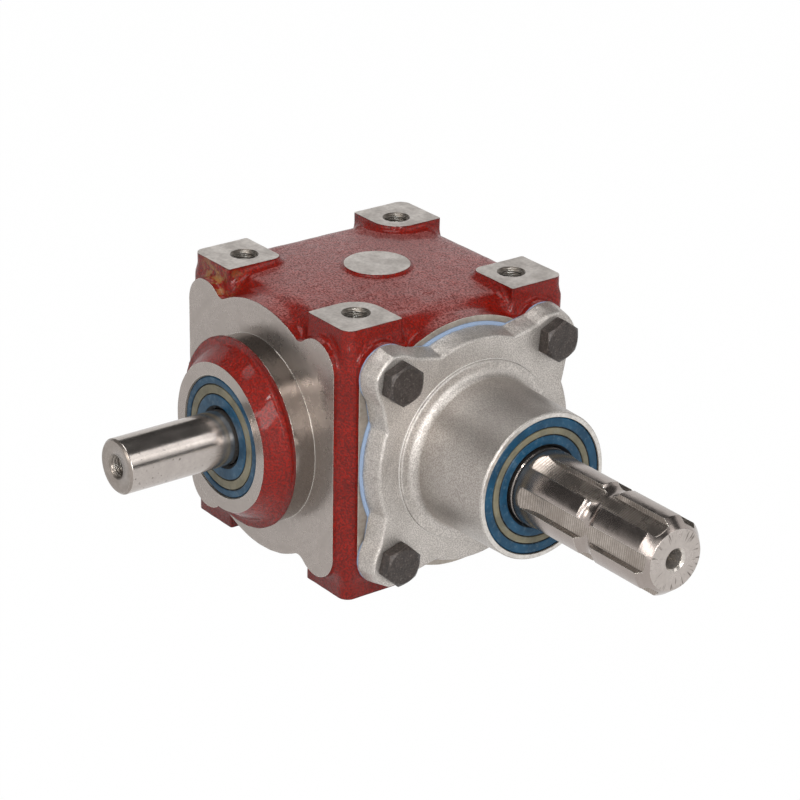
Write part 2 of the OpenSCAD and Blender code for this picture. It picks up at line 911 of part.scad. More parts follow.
module crown_key() {
    color(dark_steel)
        on_input()
            crown_key_space(0);
}

module crown_shims() {
    color(bright_steel)
        on_input()
            tube(gear_brg_od / 2 - 4, gear_brg_od / 2 - 0.2, cover_x - shim_t, cover_x);
}

// Deep-groove ball bearings. Ratios are of the ring section or the ball radius.
ball_ratio = 0.15;
ball_pitch_ratio = 3.2;
race_lip_ratio = 0.55;
cage_wall_ratio = 0.6;
cage_len_ratio = 2.4;

function pitch_circle(d, od) = (d + od) / 4;
function ball_radius(d, od) = (od - d) * ball_ratio;
function ball_count(d, od) =
    floor(2 * PI * pitch_circle(d, od) / (ball_radius(d, od) * ball_pitch_ratio));

module race_groove(d, od, w) {
    translate([0, 0, w / 2])
        rotate_extrude()
            translate([pitch_circle(d, od), 0])
                circle(ball_radius(d, od) + ball_play);
}

module bearing_outer(d, od, w, z0) {
    translate([0, 0, z0])
        difference() {
            tube(pitch_circle(d, od) + ball_radius(d, od) * race_lip_ratio, od / 2, 0, w);
            race_groove(d, od, w);
        }
}

module bearing_inner(d, od, w, z0) {
    translate([0, 0, z0])
        difference() {
            tube(d / 2, pitch_circle(d, od) - ball_radius(d, od) * race_lip_ratio, 0, w);
            race_groove(d, od, w);
        }
}

module bearing_balls(d, od, w, z0) {
    n = ball_count(d, od);
    for (k = [0:n - 1])
        rotate([0, 0, 360 * k / n + 180 / n])
            translate([pitch_circle(d, od), 0, z0 + w / 2])
                sphere(ball_radius(d, od), $fn = 32);
}

// A machined ring with one drilled pocket for each ball.
module bearing_cage(d, od, w, z0) {
    n = ball_count(d, od);
    br = ball_radius(d, od);
    middle = pitch_circle(d, od);
    half_wall = br * cage_wall_ratio / 2;
    half_len = br * cage_len_ratio / 2;
    translate([0, 0, z0 + w / 2])
        difference() {
            tube(middle - half_wall, middle + half_wall, -half_len, half_len);
            for (k = [0:n - 1])
                rotate([0, 0, 360 * k / n + 180 / n])
                    rotate([0, 90, 0])
                        translate([0, 0, middle - br])
                            cylinder(r = br + ball_play, h = 2 * br);
        }
}

module gear_bearing_outer() {
    color(bright_steel)
        on_input()
            bearing_outer(gear_brg_bore, gear_brg_od, gear_brg_w, gear_brg_x);
}

module gear_bearing_inner() {
    color(bright_steel)
        on_input()
            bearing_inner(gear_brg_bore, gear_brg_od, gear_brg_w, gear_brg_x);
}

module gear_bearing_balls() {
    color(bright_steel)
        on_input()
            bearing_balls(gear_brg_bore, gear_brg_od, gear_brg_w, gear_brg_x);
}

module gear_bearing_cage() {
    color(dark_steel)
        on_input()
            bearing_cage(gear_brg_bore, gear_brg_od, gear_brg_w, gear_brg_x);
}

module snout_bearing_outer() {
    color(bright_steel)
        on_input()
            bearing_outer(snout_brg_bore, snout_brg_od, snout_brg_w, snout_brg_x);
}

module snout_bearing_inner() {
    color(bright_steel)
        on_input()
            bearing_inner(snout_brg_bore, snout_brg_od, snout_brg_w, snout_brg_x);
}

module snout_bearing_balls() {
    color(bright_steel)
        on_input()
            bearing_balls(snout_brg_bore, snout_brg_od, snout_brg_w, snout_brg_x);
}

module snout_bearing_cage() {
    color(dark_steel)
        on_input()
            bearing_cage(snout_brg_bore, snout_brg_od, snout_brg_w, snout_brg_x);
}

module pinion_bearing_outer() {
    color(bright_steel)
        on_output()
            bearing_outer(output_seat_d, pinion_brg_od, pinion_brg_w, pinion_brg_y);
}

module pinion_bearing_inner() {
    color(bright_steel)
        on_output()
            bearing_inner(output_seat_d, pinion_brg_od, pinion_brg_w, pinion_brg_y);
}

module pinion_bearing_balls() {
    color(bright_steel)
        on_output()
            bearing_balls(output_seat_d, pinion_brg_od, pinion_brg_w, pinion_brg_y);
}

module pinion_bearing_cage() {
    color(dark_steel)
        on_output()
            bearing_cage(output_seat_d, pinion_brg_od, pinion_brg_w, pinion_brg_y);
}

module tail_bearing_outer() {
    color(bright_steel)
        on_tail()
            bearing_outer(tail_brg_bore, tail_brg_od, tail_brg_w, tail_brg_y);
}

module tail_bearing_inner() {
    color(bright_steel)
        on_tail()
            bearing_inner(tail_brg_bore, tail_brg_od, tail_brg_w, tail_brg_y);
}

module tail_bearing_balls() {
    color(bright_steel)
        on_tail()
            bearing_balls(tail_brg_bore, tail_brg_od, tail_brg_w, tail_brg_y);
}

module tail_bearing_cage() {
    color(dark_steel)
        on_tail()
            bearing_cage(tail_brg_bore, tail_brg_od, tail_brg_w, tail_brg_y);
}

// Shaft seals: a rubber body with a lip, a pale ring in its face and a garter spring.
insert_depth = 1.2;
insert_gap = 0.15;
insert_sink = 0.1;
insert_place = 0.46;
seal_wall = 2;
lip_at = 4.5;
lip_foot = 2.5;
web_t = 3;
spring_r = 0.8;
spring_gap = 0.02;

function insert_middle(shaft_d, od) = shaft_d / 2 + seal_mouth + (od - shaft_d) / 2 * insert_place;

module seal_body(shaft_d, od, insert_w, z0) {
    outer = od / 2 - ring_fit;
    mid = insert_middle(shaft_d, od);
    mouth = shaft_d / 2 + seal_mouth;
    lip = shaft_d / 2 + lip_gap;
    top = z0 + seal_w;
    difference() {
        rotate_extrude()
            polygon([
                [outer, z0], [outer, top - 0.5], [outer - 0.5, top],
                [mouth, top], [mouth, top - 1.5], [lip, z0 + lip_at], [mouth, z0 + lip_foot],
                [mouth + seal_wall, z0 + lip_foot], [mouth + seal_wall, top - web_t],
                [outer - seal_wall, top - web_t], [outer - seal_wall, z0]
            ]);
        tube(mid - insert_w / 2, mid + insert_w / 2, top - insert_depth, top + 1);
        seal_spring(shaft_d, z0, spring_r);
    }
}

module seal_insert(shaft_d, od, insert_w, z0) {
    mid = insert_middle(shaft_d, od);
    top = z0 + seal_w;
    half = insert_w / 2 - insert_gap;
    tube(mid - half, mid + half, top - insert_depth, top - insert_sink);
}

module seal_spring(shaft_d, z0, r) {
    translate([0, 0, z0 + lip_at - 0.3])
        rotate_extrude()
            translate([shaft_d / 2 + seal_mouth + seal_wall + spring_r * 0.6, 0])
                circle(r, $fn = 24);
}

module input_seal() {
    color(seal_blue)
        on_input()
            seal_body(seal_seat_d, snout_brg_od, input_insert_w, input_seal_x);
}

module input_seal_insert() {
    color(seal_beige)
        on_input()
            seal_insert(seal_seat_d, snout_brg_od, input_insert_w, input_seal_x);
}

module input_seal_spring() {
    color(bright_steel)
        on_input()
            seal_spring(seal_seat_d, input_seal_x, spring_r - spring_gap);
}

module output_seal() {
    color(seal_blue)
        on_output()
            seal_body(output_seat_d, pinion_brg_od, output_insert_w, output_seal_y);
}

module output_seal_insert() {
    color(seal_beige)
        on_output()
            seal_insert(output_seat_d, pinion_brg_od, output_insert_w, output_seal_y);
}

module output_seal_spring() {
    color(bright_steel)
        on_output()
            seal_spring(output_seat_d, output_seal_y, spring_r - spring_gap);
}

// Output shaft with its integral pinion; the tail lies at negative heights.
module output_shaft() {
    heel_tip = cone_point(cone_len, addendum + 1, pinion_cone);
    heel_root = cone_point(cone_len, -blank_depth, pinion_cone);
    toe_len = cone_len - tooth_face;
    toe_tip = cone_point(toe_len, addendum + 1, pinion_cone);
    toe_root = cone_point(toe_len, -blank_depth, pinion_cone);
    journal = output_seat_d / 2;
    neck = journal + ring_shoulder;
    core = output_d / 2;
    tail = tail_brg_bore / 2 - ring_fit;
    color(bright_steel)
        on_output()
            difference() {
                union() {
                    rotate_extrude()
                        polygon([
                            [0, -tail_end_y],
                            [tail - 0.6, -tail_end_y],
                            [tail, 0.6 - tail_end_y],
                            [tail, -tail_brg_y],
                            [core, -tail_brg_y],
                            [core, toe_root[1]],
                            [core, heel_root[1] + 1],
                            [neck, heel_root[1] + 1],
                            [neck, pinion_brg_y],
                            [journal - ring_fit, pinion_brg_y],
                            [journal - ring_fit, seat_end_y],
                            [core, seat_end_y + seat_step],
                            [core, output_end_y - end_chamfer],
                            [core - end_chamfer, output_end_y],
                            [0, output_end_y]
                        ]);
                    intersection() {
                        toothed_cone(pinion_r, pinion_cone, pinion_teeth, 180 / pinion_teeth,
                            heel_root[1] + blank_margin, toe_tip[1] - blank_margin);
                        rotate_extrude()
                            polygon([
                                [0, toe_root[1]],
                                toe_root,
                                toe_tip,
                                heel_tip,
                                heel_root,
                                [neck, heel_root[1] + 2],
                                [0, heel_root[1] + 2]
                            ]);
                    }
                }
                translate([0, 0, output_end_y - end_hole_depth])
                    cylinder(d = end_hole_d, h = end_hole_depth + 1);
                end_sink = (end_sink_d - end_hole_d) / 2;
                translate([0, 0, output_end_y - end_sink])
                    cylinder(d1 = end_hole_d, d2 = end_sink_d + 2 * eps, h = end_sink + eps);
                shaft_circlip_groove(output_seat_d, pinion_clip_y);
                tube(tail - clip_depth, tail + 2, -tail_clip_y - shaft_clip_t - clip_fit, -tail_clip_y);
                keyway();
            }
}

// A milled keyway with round ends.
key_margin = 5;

module keyway() {
    z0 = output_end_y - key_margin - key_len;
    rotate([0, 0, key_turn])
        translate([output_d / 2 - key_sink, 0, z0]) {
            translate([0, -key_w / 2, key_w / 2])
                cube([key_sink * 2, key_w, key_len - key_w]);
            for (z = [key_w / 2, key_len - key_w / 2])
                translate([0, 0, z])
                    rotate([0, 90, 0])
                        cylinder(d = key_w, h = key_sink * 2);
        }
}

module output_bore_circlips() {
    color(dark_steel) {
        on_output() {
            bore_circlip(pinion_brg_od, clip_groove, pinion_clip_y);
            bore_circlip(pinion_brg_od, clip_groove, pinion_stop_y);
        }
        on_tail()
            bore_circlip(tail_brg_od, clip_groove, tail_clip_y);
    }
}

module output_shaft_circlips() {
    color(dark_steel) {
        on_output()
            shaft_circlip(output_seat_d, pinion_clip_y, small_clip_height);
        on_tail()
            shaft_circlip(tail_brg_bore - 2 * ring_fit, tail_clip_y, clip_height);
    }
}

module rear_end_cap() {
    rim = tail_brg_od / 2;
    top = face_at - cap_sink;
    color(dark_steel)
        on_tail()
            rotate_extrude()
                polygon([
                    [0, top - cap_wall],
                    [rim - cap_wall, top - cap_wall],
                    [rim - cap_wall, cap_y],
                    [rim, cap_y],
                    [rim, top - cap_chamfer],
                    [rim - cap_chamfer, top],
                    [0, top]
                ]);
}

// Oil plugs on the plain side, each with a round collar on a soft washer.
module oil_plug(p) {
    color(dark_steel)
        translate([0, 0, axis_h])
            rotate([90, 0, -90])
                translate([p[0], p[1], plug_seat]) {
                    translate([0, 0, washer_t])
                        cylinder(d = plug_af + 3, h = plug_collar_t);
                    translate([0, 0, washer_t + plug_collar_t - eps])
                        cylinder(d = plug_af / cos(30), h = plug_head_h - plug_collar_t, $fn = 6);
                    translate([0, 0, -plug_thread_len])
                        cylinder(d = plug_d - 2 * bolt_gap, h = plug_thread_len + washer_t + eps);
                }
}

module oil_filler_plug() {
    oil_plug(plug_places[0]);
}

module oil_level_plug() {
    oil_plug(plug_places[1]);
}

module oil_drain_plug() {
    oil_plug(plug_places[2]);
}

module plug_washers() {
    color(copper)
        translate([0, 0, axis_h])
            rotate([90, 0, -90])
                for (p = plug_places)
                    translate([p[0], p[1], 0])
                        tube(plug_d / 2 + 0.1, plug_af / 2 + 1, plug_seat, plug_seat + washer_t);
}

housing();
flange_cover();
cover_gasket();
cover_bolts();
input_shaft();
crown_gear();
crown_key();
crown_shims();
gear_bearing_outer();
gear_bearing_inner();
gear_bearing_balls();
gear_bearing_cage();
snout_bearing_outer();
snout_bearing_inner();
snout_bearing_balls();
snout_bearing_cage();
input_bore_circlips();
input_shaft_circlips();
input_seal();
input_seal_insert();
input_seal_spring();
output_shaft();
pinion_bearing_outer();
pinion_bearing_inner();
pinion_bearing_balls();
pinion_bearing_cage();
tail_bearing_outer();
tail_bearing_inner();
tail_bearing_balls();
tail_bearing_cage();
output_bore_circlips();
output_shaft_circlips();
output_seal();
output_seal_insert();
output_seal_spring();
rear_end_cap();
oil_filler_plug();
oil_level_plug();
oil_drain_plug();
plug_washers();
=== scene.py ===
import itertools
import json
import math
import random

import bmesh
import bpy
import numpy as np
from mathutils import Matrix, Vector

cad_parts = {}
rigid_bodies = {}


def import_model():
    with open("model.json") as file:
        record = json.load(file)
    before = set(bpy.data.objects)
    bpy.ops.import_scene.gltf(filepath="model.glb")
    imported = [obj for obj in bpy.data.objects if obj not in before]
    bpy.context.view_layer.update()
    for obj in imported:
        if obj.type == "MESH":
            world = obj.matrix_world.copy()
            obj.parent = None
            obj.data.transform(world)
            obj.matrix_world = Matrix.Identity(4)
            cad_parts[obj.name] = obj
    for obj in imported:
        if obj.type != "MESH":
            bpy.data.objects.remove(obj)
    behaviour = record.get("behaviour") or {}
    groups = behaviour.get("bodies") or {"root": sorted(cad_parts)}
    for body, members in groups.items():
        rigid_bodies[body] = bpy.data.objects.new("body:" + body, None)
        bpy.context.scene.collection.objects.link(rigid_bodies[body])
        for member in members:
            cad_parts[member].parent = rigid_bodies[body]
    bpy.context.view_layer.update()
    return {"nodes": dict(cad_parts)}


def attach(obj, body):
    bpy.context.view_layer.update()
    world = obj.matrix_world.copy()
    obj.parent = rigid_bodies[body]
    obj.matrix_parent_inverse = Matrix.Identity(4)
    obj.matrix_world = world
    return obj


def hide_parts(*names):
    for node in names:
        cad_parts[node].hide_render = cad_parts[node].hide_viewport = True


for leftover in list(bpy.data.objects):
    bpy.data.objects.remove(leftover)
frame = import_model()
scene = bpy.context.scene


# Camera: the place and the tilt that a full perspective fit to the photograph gave.
view_from = Vector((0.95174, -0.71007, 0.58308))
view_right = Vector((0.59985, 0.79995, 0.01618))
view_up = Vector((-0.33123, 0.22987, 0.91512))
view_back = Vector((0.72833, -0.55429, 0.40285))
camera_data = bpy.data.cameras.new("camera")
camera_data.sensor_width = 36
camera_data.lens = 128.4
camera = bpy.data.objects.new("camera", camera_data)
scene.collection.objects.link(camera)
turn = Matrix((view_right, view_up, view_back)).transposed().to_4x4()
camera.matrix_world = Matrix.Translation(view_from) @ turn
scene.camera = camera
scene.view_settings.view_transform = "Standard"


# Studio: a pale seamless floor under plain soft boxes. The background shows as pure
# white to the camera and in the metal, while the floor keeps a faint soft shadow.
def shader_node(tree, kind, inputs=None, **settings):
    """Adds one shader node; each input is a plain value or a socket to link."""
    node = tree.nodes.new("ShaderNode" + kind)
    for name, value in settings.items():
        setattr(node, name, value)
    for key, value in (inputs or {}).items():
        if isinstance(value, bpy.types.NodeSocket):
            tree.links.new(value, node.inputs[key])
        else:
            node.inputs[key].default_value = value
    return node


def arithmetic(tree, how, a, b=0.0, c=0.0):
    """One sum on values or sockets; returns its result."""
    return shader_node(tree, "Math", {0: a, 1: b, 2: c}, operation=how).outputs[0]


def times(tree, a, b):
    """The product of two values or sockets."""
    return arithmetic(tree, "MULTIPLY", a, b)


def white_to_the_eye(tree, lit, white, share=1.0):
    """Blends a lit shader with a white one wherever a camera, mirror or glass ray looks."""
    path = shader_node(tree, "LightPath").outputs
    seen = arithmetic(tree, "MAXIMUM", path["Is Camera Ray"], path["Is Glossy Ray"])
    seen = arithmetic(tree, "MAXIMUM", seen, path["Is Transmission Ray"])
    part = times(tree, seen, share)
    return shader_node(tree, "MixShader", {0: part, 1: lit.outputs[0], 2: white.outputs[0]})


def new_finish(name):
    """An empty material; returns it and its tree."""
    finish = bpy.data.materials.new(name)
    finish.use_nodes = True
    finish.node_tree.nodes.clear()
    return finish, finish.node_tree


white = {"Color": (1, 1, 1, 1), "Strength": 1}
world = bpy.data.worlds.new("studio")
world.use_nodes = True
tree = world.node_tree
tree.nodes.clear()
ambient = shader_node(tree, "Background", {"Color": (0.97, 0.98, 1, 1), "Strength": 0.30})
sky = white_to_the_eye(tree, ambient, shader_node(tree, "Background", white))
shader_node(tree, "OutputWorld", {0: sky.outputs[0]})
scene.world = world

part_middle = (0, 0, 0.06)  # what the lamps and the cards face


def studio_sheet(name, width, height, place, finish):
    """A flat sheet of the studio, such as the floor or a card."""
    w, h = width / 2, height / 2
    mesh = bpy.data.meshes.new(name)
    mesh.from_pydata([(-w, -h, 0), (w, -h, 0), (w, h, 0), (-w, h, 0)], [], [(0, 1, 2, 3)])
    mesh.materials.append(finish)
    sheet = bpy.data.objects.new(name, mesh)
    sheet.location = place
    scene.collection.objects.link(sheet)
    return sheet


def facing(place, aim):
    """The turn that points a lamp or a card from its place to its aim."""
    return (Vector(aim) - Vector(place)).to_track_quat("-Z", "Y").to_euler()


pale_floor, tree = new_finish("pale_floor")
paper = shader_node(tree, "BsdfDiffuse", {"Color": (0.8, 0.8, 0.8, 1)})
floor_mix = white_to_the_eye(tree, paper, shader_node(tree, "Emission", white), 0.995)
shader_node(tree, "OutputMaterial", {0: floor_mix.outputs[0]})
floor = studio_sheet("floor", 8, 8, (0, 0, -0.0003), pale_floor)


def soft_box(name, place, aim, size, watts, tint=(1, 1, 1)):
    """An area lamp that points at a spot on the gearbox."""
    data = bpy.data.lights.new(name, "AREA")
    data.shape = "RECTANGLE"
    data.size, data.size_y = size
    data.energy = watts
    data.color = tint
    lamp = bpy.data.objects.new(name, data)
    lamp.location = place
    lamp.rotation_euler = facing(place, aim)
    scene.collection.objects.link(lamp)


soft_box("overhead_box", (-0.05, -0.25, 1.45), part_middle, (0.8, 0.8), 9)
soft_box("front_box", (0.35, -1.50, 0.95), part_middle, (0.5, 0.5), 4.5, (1, 0.95, 0.88))
soft_box("side_box", (1.50, -0.45, 0.55), (0.05, 0, 0.06), (0.4, 0.7), 14)
soft_box("front_strip", (1.02, -1.02, 0.70), part_middle, (0.12, 1.1), 4)
soft_box("back_box", (1.14, 0.74, 1.10), part_middle, (0.6, 0.9), 3.4)
soft_box("small_box", (0.64, -0.74, 1.19), part_middle, (0.14, 0.14), 2.6)


# Black cards stand out of view and face the gearbox, and bare metal mirrors them.
black_card, tree = new_finish("black_card")
card_skin = shader_node(tree, "BsdfDiffuse", {"Color": (0.03, 0.03, 0.03, 1)})
shader_node(tree, "OutputMaterial", {0: card_skin.outputs[0]})
for name, place, width, height in (
        ("ceiling_card", (0, 0, 1.75), 4.4, 4.4),
        ("front_card", (-1.08, -0.80, 0.76), 1.15, 0.75),
        ("back_card", (-0.46, 1.05, 1.34), 1.7, 0.85),
        ("low_card", (1.50, 1.09, 0.35), 2.2, 0.42)):
    card = studio_sheet(name, width, height, place, black_card)
    card.rotation_euler = facing(place, part_middle)


# Housing: one grey-iron casting, sand cast with rounded edges, painted a glossy deep
# red inside the mould marks and then bored, faced and tapped, so every machined
# surface shows bare iron. It is drawn as the raw casting first and then machined.
axis_h = 63.5  # both shaft axes lie this many millimetres above the base pads
wall_at, deck_at, face_at = 59.0, 60.0, 63.5  # cast walls, cast top and machined faces
bolt_at, lobe_r = 42.5, 13.5  # screws lie on an 85 mm square, each in a round lobe
pilot_r, pilot_back, cone_back, nose_at = 42.5, 73.5, 71.0, 84.5  # pilot ring and cone
plug_lifts = (-36, 0, 36)  # the three oil plugs, counted up and down from the axes
stock = 1.6  # iron left on the casting for machining


def round_or(a, b, r):
    """Joins two distance fields with a cast fillet."""
    return np.maximum(r, np.minimum(a, b)) - np.hypot(np.maximum(r - a, 0), np.maximum(r - b, 0))


def round_and(a, b, r):
    """Crosses two distance fields and rounds the edge between them."""
    return np.minimum(-r, np.maximum(a, b)) + np.hypot(np.maximum(r + a, 0), np.maximum(r + b, 0))


def rounded_oblong(u, v, half_u, half_v, r):
    """Distance to a rectangle with rounded corners."""
    du, dv = np.abs(u) - half_u + r, np.abs(v) - half_v + r
    return np.minimum(np.maximum(du, dv), 0) + np.hypot(np.maximum(du, 0), np.maximum(dv, 0)) - r


def sand_skin(x, y, z, seed, depth, size):
    """Gentle unevenness of a sand-cast surface, as a sum of slow waves."""
    draw = random.Random(seed)
    total = 0 * x
    waves = 9
    for _ in range(waves):
        way = Vector([draw.gauss(0, 1) for _ in range(3)]).normalized()
        way = way * (2 * math.pi / (size * draw.uniform(0.7, 1.6)))
        total = total + np.sin(way.x * x + way.y * y + way.z * z + draw.uniform(0, 6.28))
    return depth * total / math.sqrt(waves)


def side_outline(u, v, round_r):
    """Distance to the outline of one side: a disc with four lobes that straight edges join."""
    lobe = np.hypot(np.abs(u) - bolt_at, np.abs(v) - bolt_at) - lobe_r
    lobed = round_or(np.hypot(u, v) - round_r, lobe, 4)
    side = np.abs(u) - (bolt_at + lobe_r)
    return np.maximum(np.minimum(lobed, np.maximum(side, np.abs(v) - bolt_at)), side)


def corner_pad(x, y):
    """Distance to the four pad columns, seen from above."""
    half = 14.5
    soft = (x > 0) != (y > 0)
    inner_r = np.where(soft, 13.0, 5.0)
    u, v = np.abs(x) - (wall_at - half), np.abs(y) - (wall_at - half)
    r = np.where((u < 0) & (v < 0), inner_r, np.where((u > 0) & (v > 0), 5.0, 1.0))
    return rounded_oblong(u, v, half, half, r)


def housing_casting(x, y, z):
    """Distance field of the raw housing, in millimetres about the shaft crossing."""
    radius = np.hypot(x, y)
    dome = 2.5 * np.maximum(0, 1 - (radius / 50) ** 2)
    level = np.abs(z) - dome
    body = np.maximum(rounded_oblong(x, level, wall_at, deck_at, 12),
                      rounded_oblong(y, level, wall_at, deck_at, 12))
    body = np.maximum(body, rounded_oblong(x, y, wall_at, wall_at, 5))
    column = round_and(corner_pad(x, y), np.abs(z) - face_at - stock, 0.8)
    solid = round_or(body, column, 4.0)
    boss = np.maximum(radius - 14.5, np.abs(z) - face_at - stock)
    solid = round_or(solid, boss, 2.5)
    draft = 0.04
    for along, across in ((x, y), (-y, x)):
        outline = side_outline(across, z, 58.5) + draft * (along - wall_at)
        face = np.maximum(np.maximum(outline, along - face_at - stock), -along)
        solid = round_or(solid, face, 2.2)
    for along, across in ((-x, y), (y, x)):
        outline = side_outline(across, z, 52)
        face = np.maximum(round_and(outline, along - wall_at - 3, 2.4), -along)
        solid = round_or(solid, face, 2.2)
    tail = np.maximum(np.hypot(x, z) - 31.4, np.maximum(y - face_at - stock, -y))
    solid = round_or(solid, tail, 1.0)
    for lift in plug_lifts:
        plug_boss = np.maximum(np.hypot(y, z - lift) - 15, np.maximum(-x - face_at, x))
        solid = round_or(solid, plug_boss, 1.0)
    ring = np.hypot(x, z)
    pilot = np.maximum(ring - (pilot_r + 1.1), np.maximum(-y - (pilot_back + 1.5), y))
    slant = (ring - 41.0 + (-y - pilot_back) * 7 / 11) * 0.843  # the last makes it a distance
    cone = np.maximum(slant, np.maximum(-y - nose_at - stock, y + cone_back))
    step = np.maximum(ring - 41.6, np.maximum(-y - (pilot_back + 1.3), y + cone_back))
    solid = np.minimum(solid, np.minimum(pilot, round_or(cone, step, 1.5)))
    skin = sand_skin(x, y, z, 4, 0.06, 9)
    outer = solid + skin
    cavity_r, tail_boss_r, tail_boss_at = 50, 30, 40.5
    cavity = np.sqrt(x * x + y * y + z * z) - cavity_r
    tail_boss = np.maximum(ring - tail_boss_r, tail_boss_at - y)
    cavity = np.maximum(cavity, -tail_boss)
    return np.maximum(outer, -cavity + skin)


def skin_of(field, low, high, step):
    """Meshes the zero surface of a distance field on a grid, then draws each point
    onto the surface. Returns points and quads."""
    axes = [np.arange(a, b + step, step, dtype=np.float32) for a, b in zip(low, high)]
    value = field(*np.meshgrid(*axes, indexing="ij", sparse=True))
    inside = value < 0
    cells = tuple(n - 1 for n in value.shape)
    full = np.zeros(cells, np.int8)
    for i, j, k in itertools.product((0, 1), repeat=3):
        full += inside[i:cells[0] + i, j:cells[1] + j, k:cells[2] + k]
    mixed = (full > 0) & (full < 8)
    number = np.full(cells, -1, np.int64)
    number[mixed] = np.arange(mixed.sum())
    cell = np.argwhere(mixed)
    total = np.zeros(cell.shape)
    hits = np.zeros(len(cell))
    for way, p, q in itertools.product(range(3), (0, 1), (0, 1)):
        start = np.zeros(3, np.int64)
        start[(way + 1) % 3], start[(way + 2) % 3] = p, q
        end = start.copy()
        end[way] = 1
        a = value[tuple((cell + start).T)]
        b = value[tuple((cell + end).T)]
        crossed = (a < 0) != (b < 0)
        share = np.where(crossed, a / np.where(crossed, a - b, 1), 0)[:, None]
        total += np.where(crossed[:, None], start + (end - start) * share, 0)
        hits += crossed
    points = np.array([axis[0] for axis in axes]) + (cell + total / hits[:, None]) * step
    nudge = 0.02
    for _ in range(3):
        here = field(*points.T)
        slope = np.stack([(field(*(points + nudge * way).T) - here) / nudge
                          for way in np.eye(3)], 1)
        size = np.maximum((slope ** 2).sum(1), 0.2)
        shift = -slope * (here / size)[:, None]
        points = points + np.clip(shift, -0.3 * step, 0.3 * step)
    quads = []
    for way in range(3):
        u, v = np.roll(np.eye(3, dtype=np.int64), -way, axis=0)[1:]
        near = np.take(inside, range(cells[way]), axis=way)
        past = np.take(inside, range(1, cells[way] + 1), axis=way)
        spot = np.argwhere(near != past)
        for other in ((way + 1) % 3, (way + 2) % 3):
            spot = spot[(spot[:, other] > 0) & (spot[:, other] < cells[other])]
        quad = np.stack([number[tuple((spot - s).T)] for s in (0 * u, u, u + v, v)], 1)
        outward = near[tuple(spot.T)]
        quad[~outward] = quad[~outward][:, ::-1]
        quads.append(quad)
    return points, np.concatenate(quads)


def piece_of(name, points, faces, finishes):
    """A mesh object from points in millimetres about the shaft crossing."""
    mesh = bpy.data.meshes.new(name)
    places = (np.asarray(points, float) + (0, 0, axis_h)) * 0.001
    mesh.from_pydata(places.tolist(), [], faces.tolist() if hasattr(faces, "tolist") else faces)
    for finish in finishes:
        mesh.materials.append(finish)
    piece = bpy.data.objects.new(name, mesh)
    scene.collection.objects.link(piece)
    return piece


# Each frame turns (across, up, along) into x, y, z for pieces that sit on one side.
on_input = np.array([[0, 0, 1], [1, 0, 0], [0, 1, 0]], float)
on_output = np.array([[1, 0, 0], [0, 0, -1], [0, 1, 0]], float)
on_tail = np.array([[-1, 0, 0], [0, 0, 1], [0, 1, 0]], float)
on_plain = np.array([[0, 0, -1], [-1, 0, 0], [0, 1, 0]], float)
on_top = np.eye(3)
on_base = np.array([[1, 0, 0], [0, -1, 0], [0, 0, -1]], float)


def turned(name, profile, side, finishes, segments=160, at=(0, 0), ring=False, spin=0.0):
    """Turns a profile of (along, radius) pairs about an axis of one side. Either may be an
    array with one value for each segment. A ring is left open in the middle."""
    angle = np.arange(segments) * 2 * math.pi / segments + spin
    rows = []
    for along, radius in profile:
        across, up = at[0] + radius * np.cos(angle), at[1] + radius * np.sin(angle)
        rows.append(np.stack([across, up, np.broadcast_to(along, segments)], 1))
    points = np.concatenate(rows)
    count = len(rows)
    faces = []
    for row in range(count if ring else count - 1):
        a, b = row * segments, ((row + 1) % count) * segments
        for k in range(segments):
            n = (k + 1) % segments
            faces.append((a + k, a + n, b + n, b + k))
    if not ring:
        faces.append(tuple(reversed(range(segments))))
        last = (count - 1) * segments
        faces.append(tuple(range(last, last + segments)))
    return piece_of(name, points @ side.T, faces, finishes)


def machine(piece, tools, joined=False):
    """Cuts a piece with its tools, or joins them to it. A cut keeps the tool's own finish."""
    for tool in tools:
        step = piece.modifiers.new(tool.name, "BOOLEAN")
        step.operation = "UNION" if joined else "DIFFERENCE"
        step.solver = "MANIFOLD"
        step.material_mode = "TRANSFER"
        step.object = tool
    graph = bpy.context.evaluated_depsgraph_get()
    mesh = bpy.data.meshes.new_from_object(piece.evaluated_get(graph), depsgraph=graph)
    piece.modifiers.clear()
    piece.data = mesh
    for tool in tools:
        bpy.data.objects.remove(tool)
    return piece


def smooth(piece, limit=32):
    """Shades a piece smooth, with sharp edges where it really turns a corner."""
    piece.data.shade_smooth()
    piece.data.set_sharp_from_angle(angle=math.radians(limit))
    return piece


def effect(name, wants, gives):
    """A shader node group. Returns it with the sockets that come in and those that go out."""
    group = bpy.data.node_groups.new(name, "ShaderNodeTree")
    for label, kind, value in wants:
        socket = group.interface.new_socket(label, in_out="INPUT", socket_type="NodeSocket" + kind)
        if kind != "Vector":
            socket.default_value = value
    for label, kind in gives:
        group.interface.new_socket(label, in_out="OUTPUT", socket_type="NodeSocket" + kind)
    ends = group.nodes.new("NodeGroupInput"), group.nodes.new("NodeGroupOutput")
    return group, ends[0].outputs, ends[1].inputs


def less(tree, a):
    """One less a value, kept from 0 to 1."""
    return shader_node(tree, "Math", {0: 1.0, 1: a}, operation="SUBTRACT",
                       use_clamp=True).outputs[0]


def out_from_axis(tree, flat):
    """Distance from the axis, where flat holds the two numbers across it."""
    squares = [arithmetic(tree, "POWER", flat[k], 2.0) for k in (0, 1)]
    return arithmetic(tree, "SQRT", arithmetic(tree, "ADD", *squares))


def own_place(tree):
    """Where a point lies in the part's own frame."""
    return shader_node(tree, "TexCoord").outputs["Object"]


def ramp_between(tree, value, low, high):
    """Nothing below low, everything above high, and soft between."""
    return shader_node(tree, "MapRange", {"Value": value, "From Min": low, "From Max": high},
                       interpolation_type="SMOOTHSTEP").outputs[0]


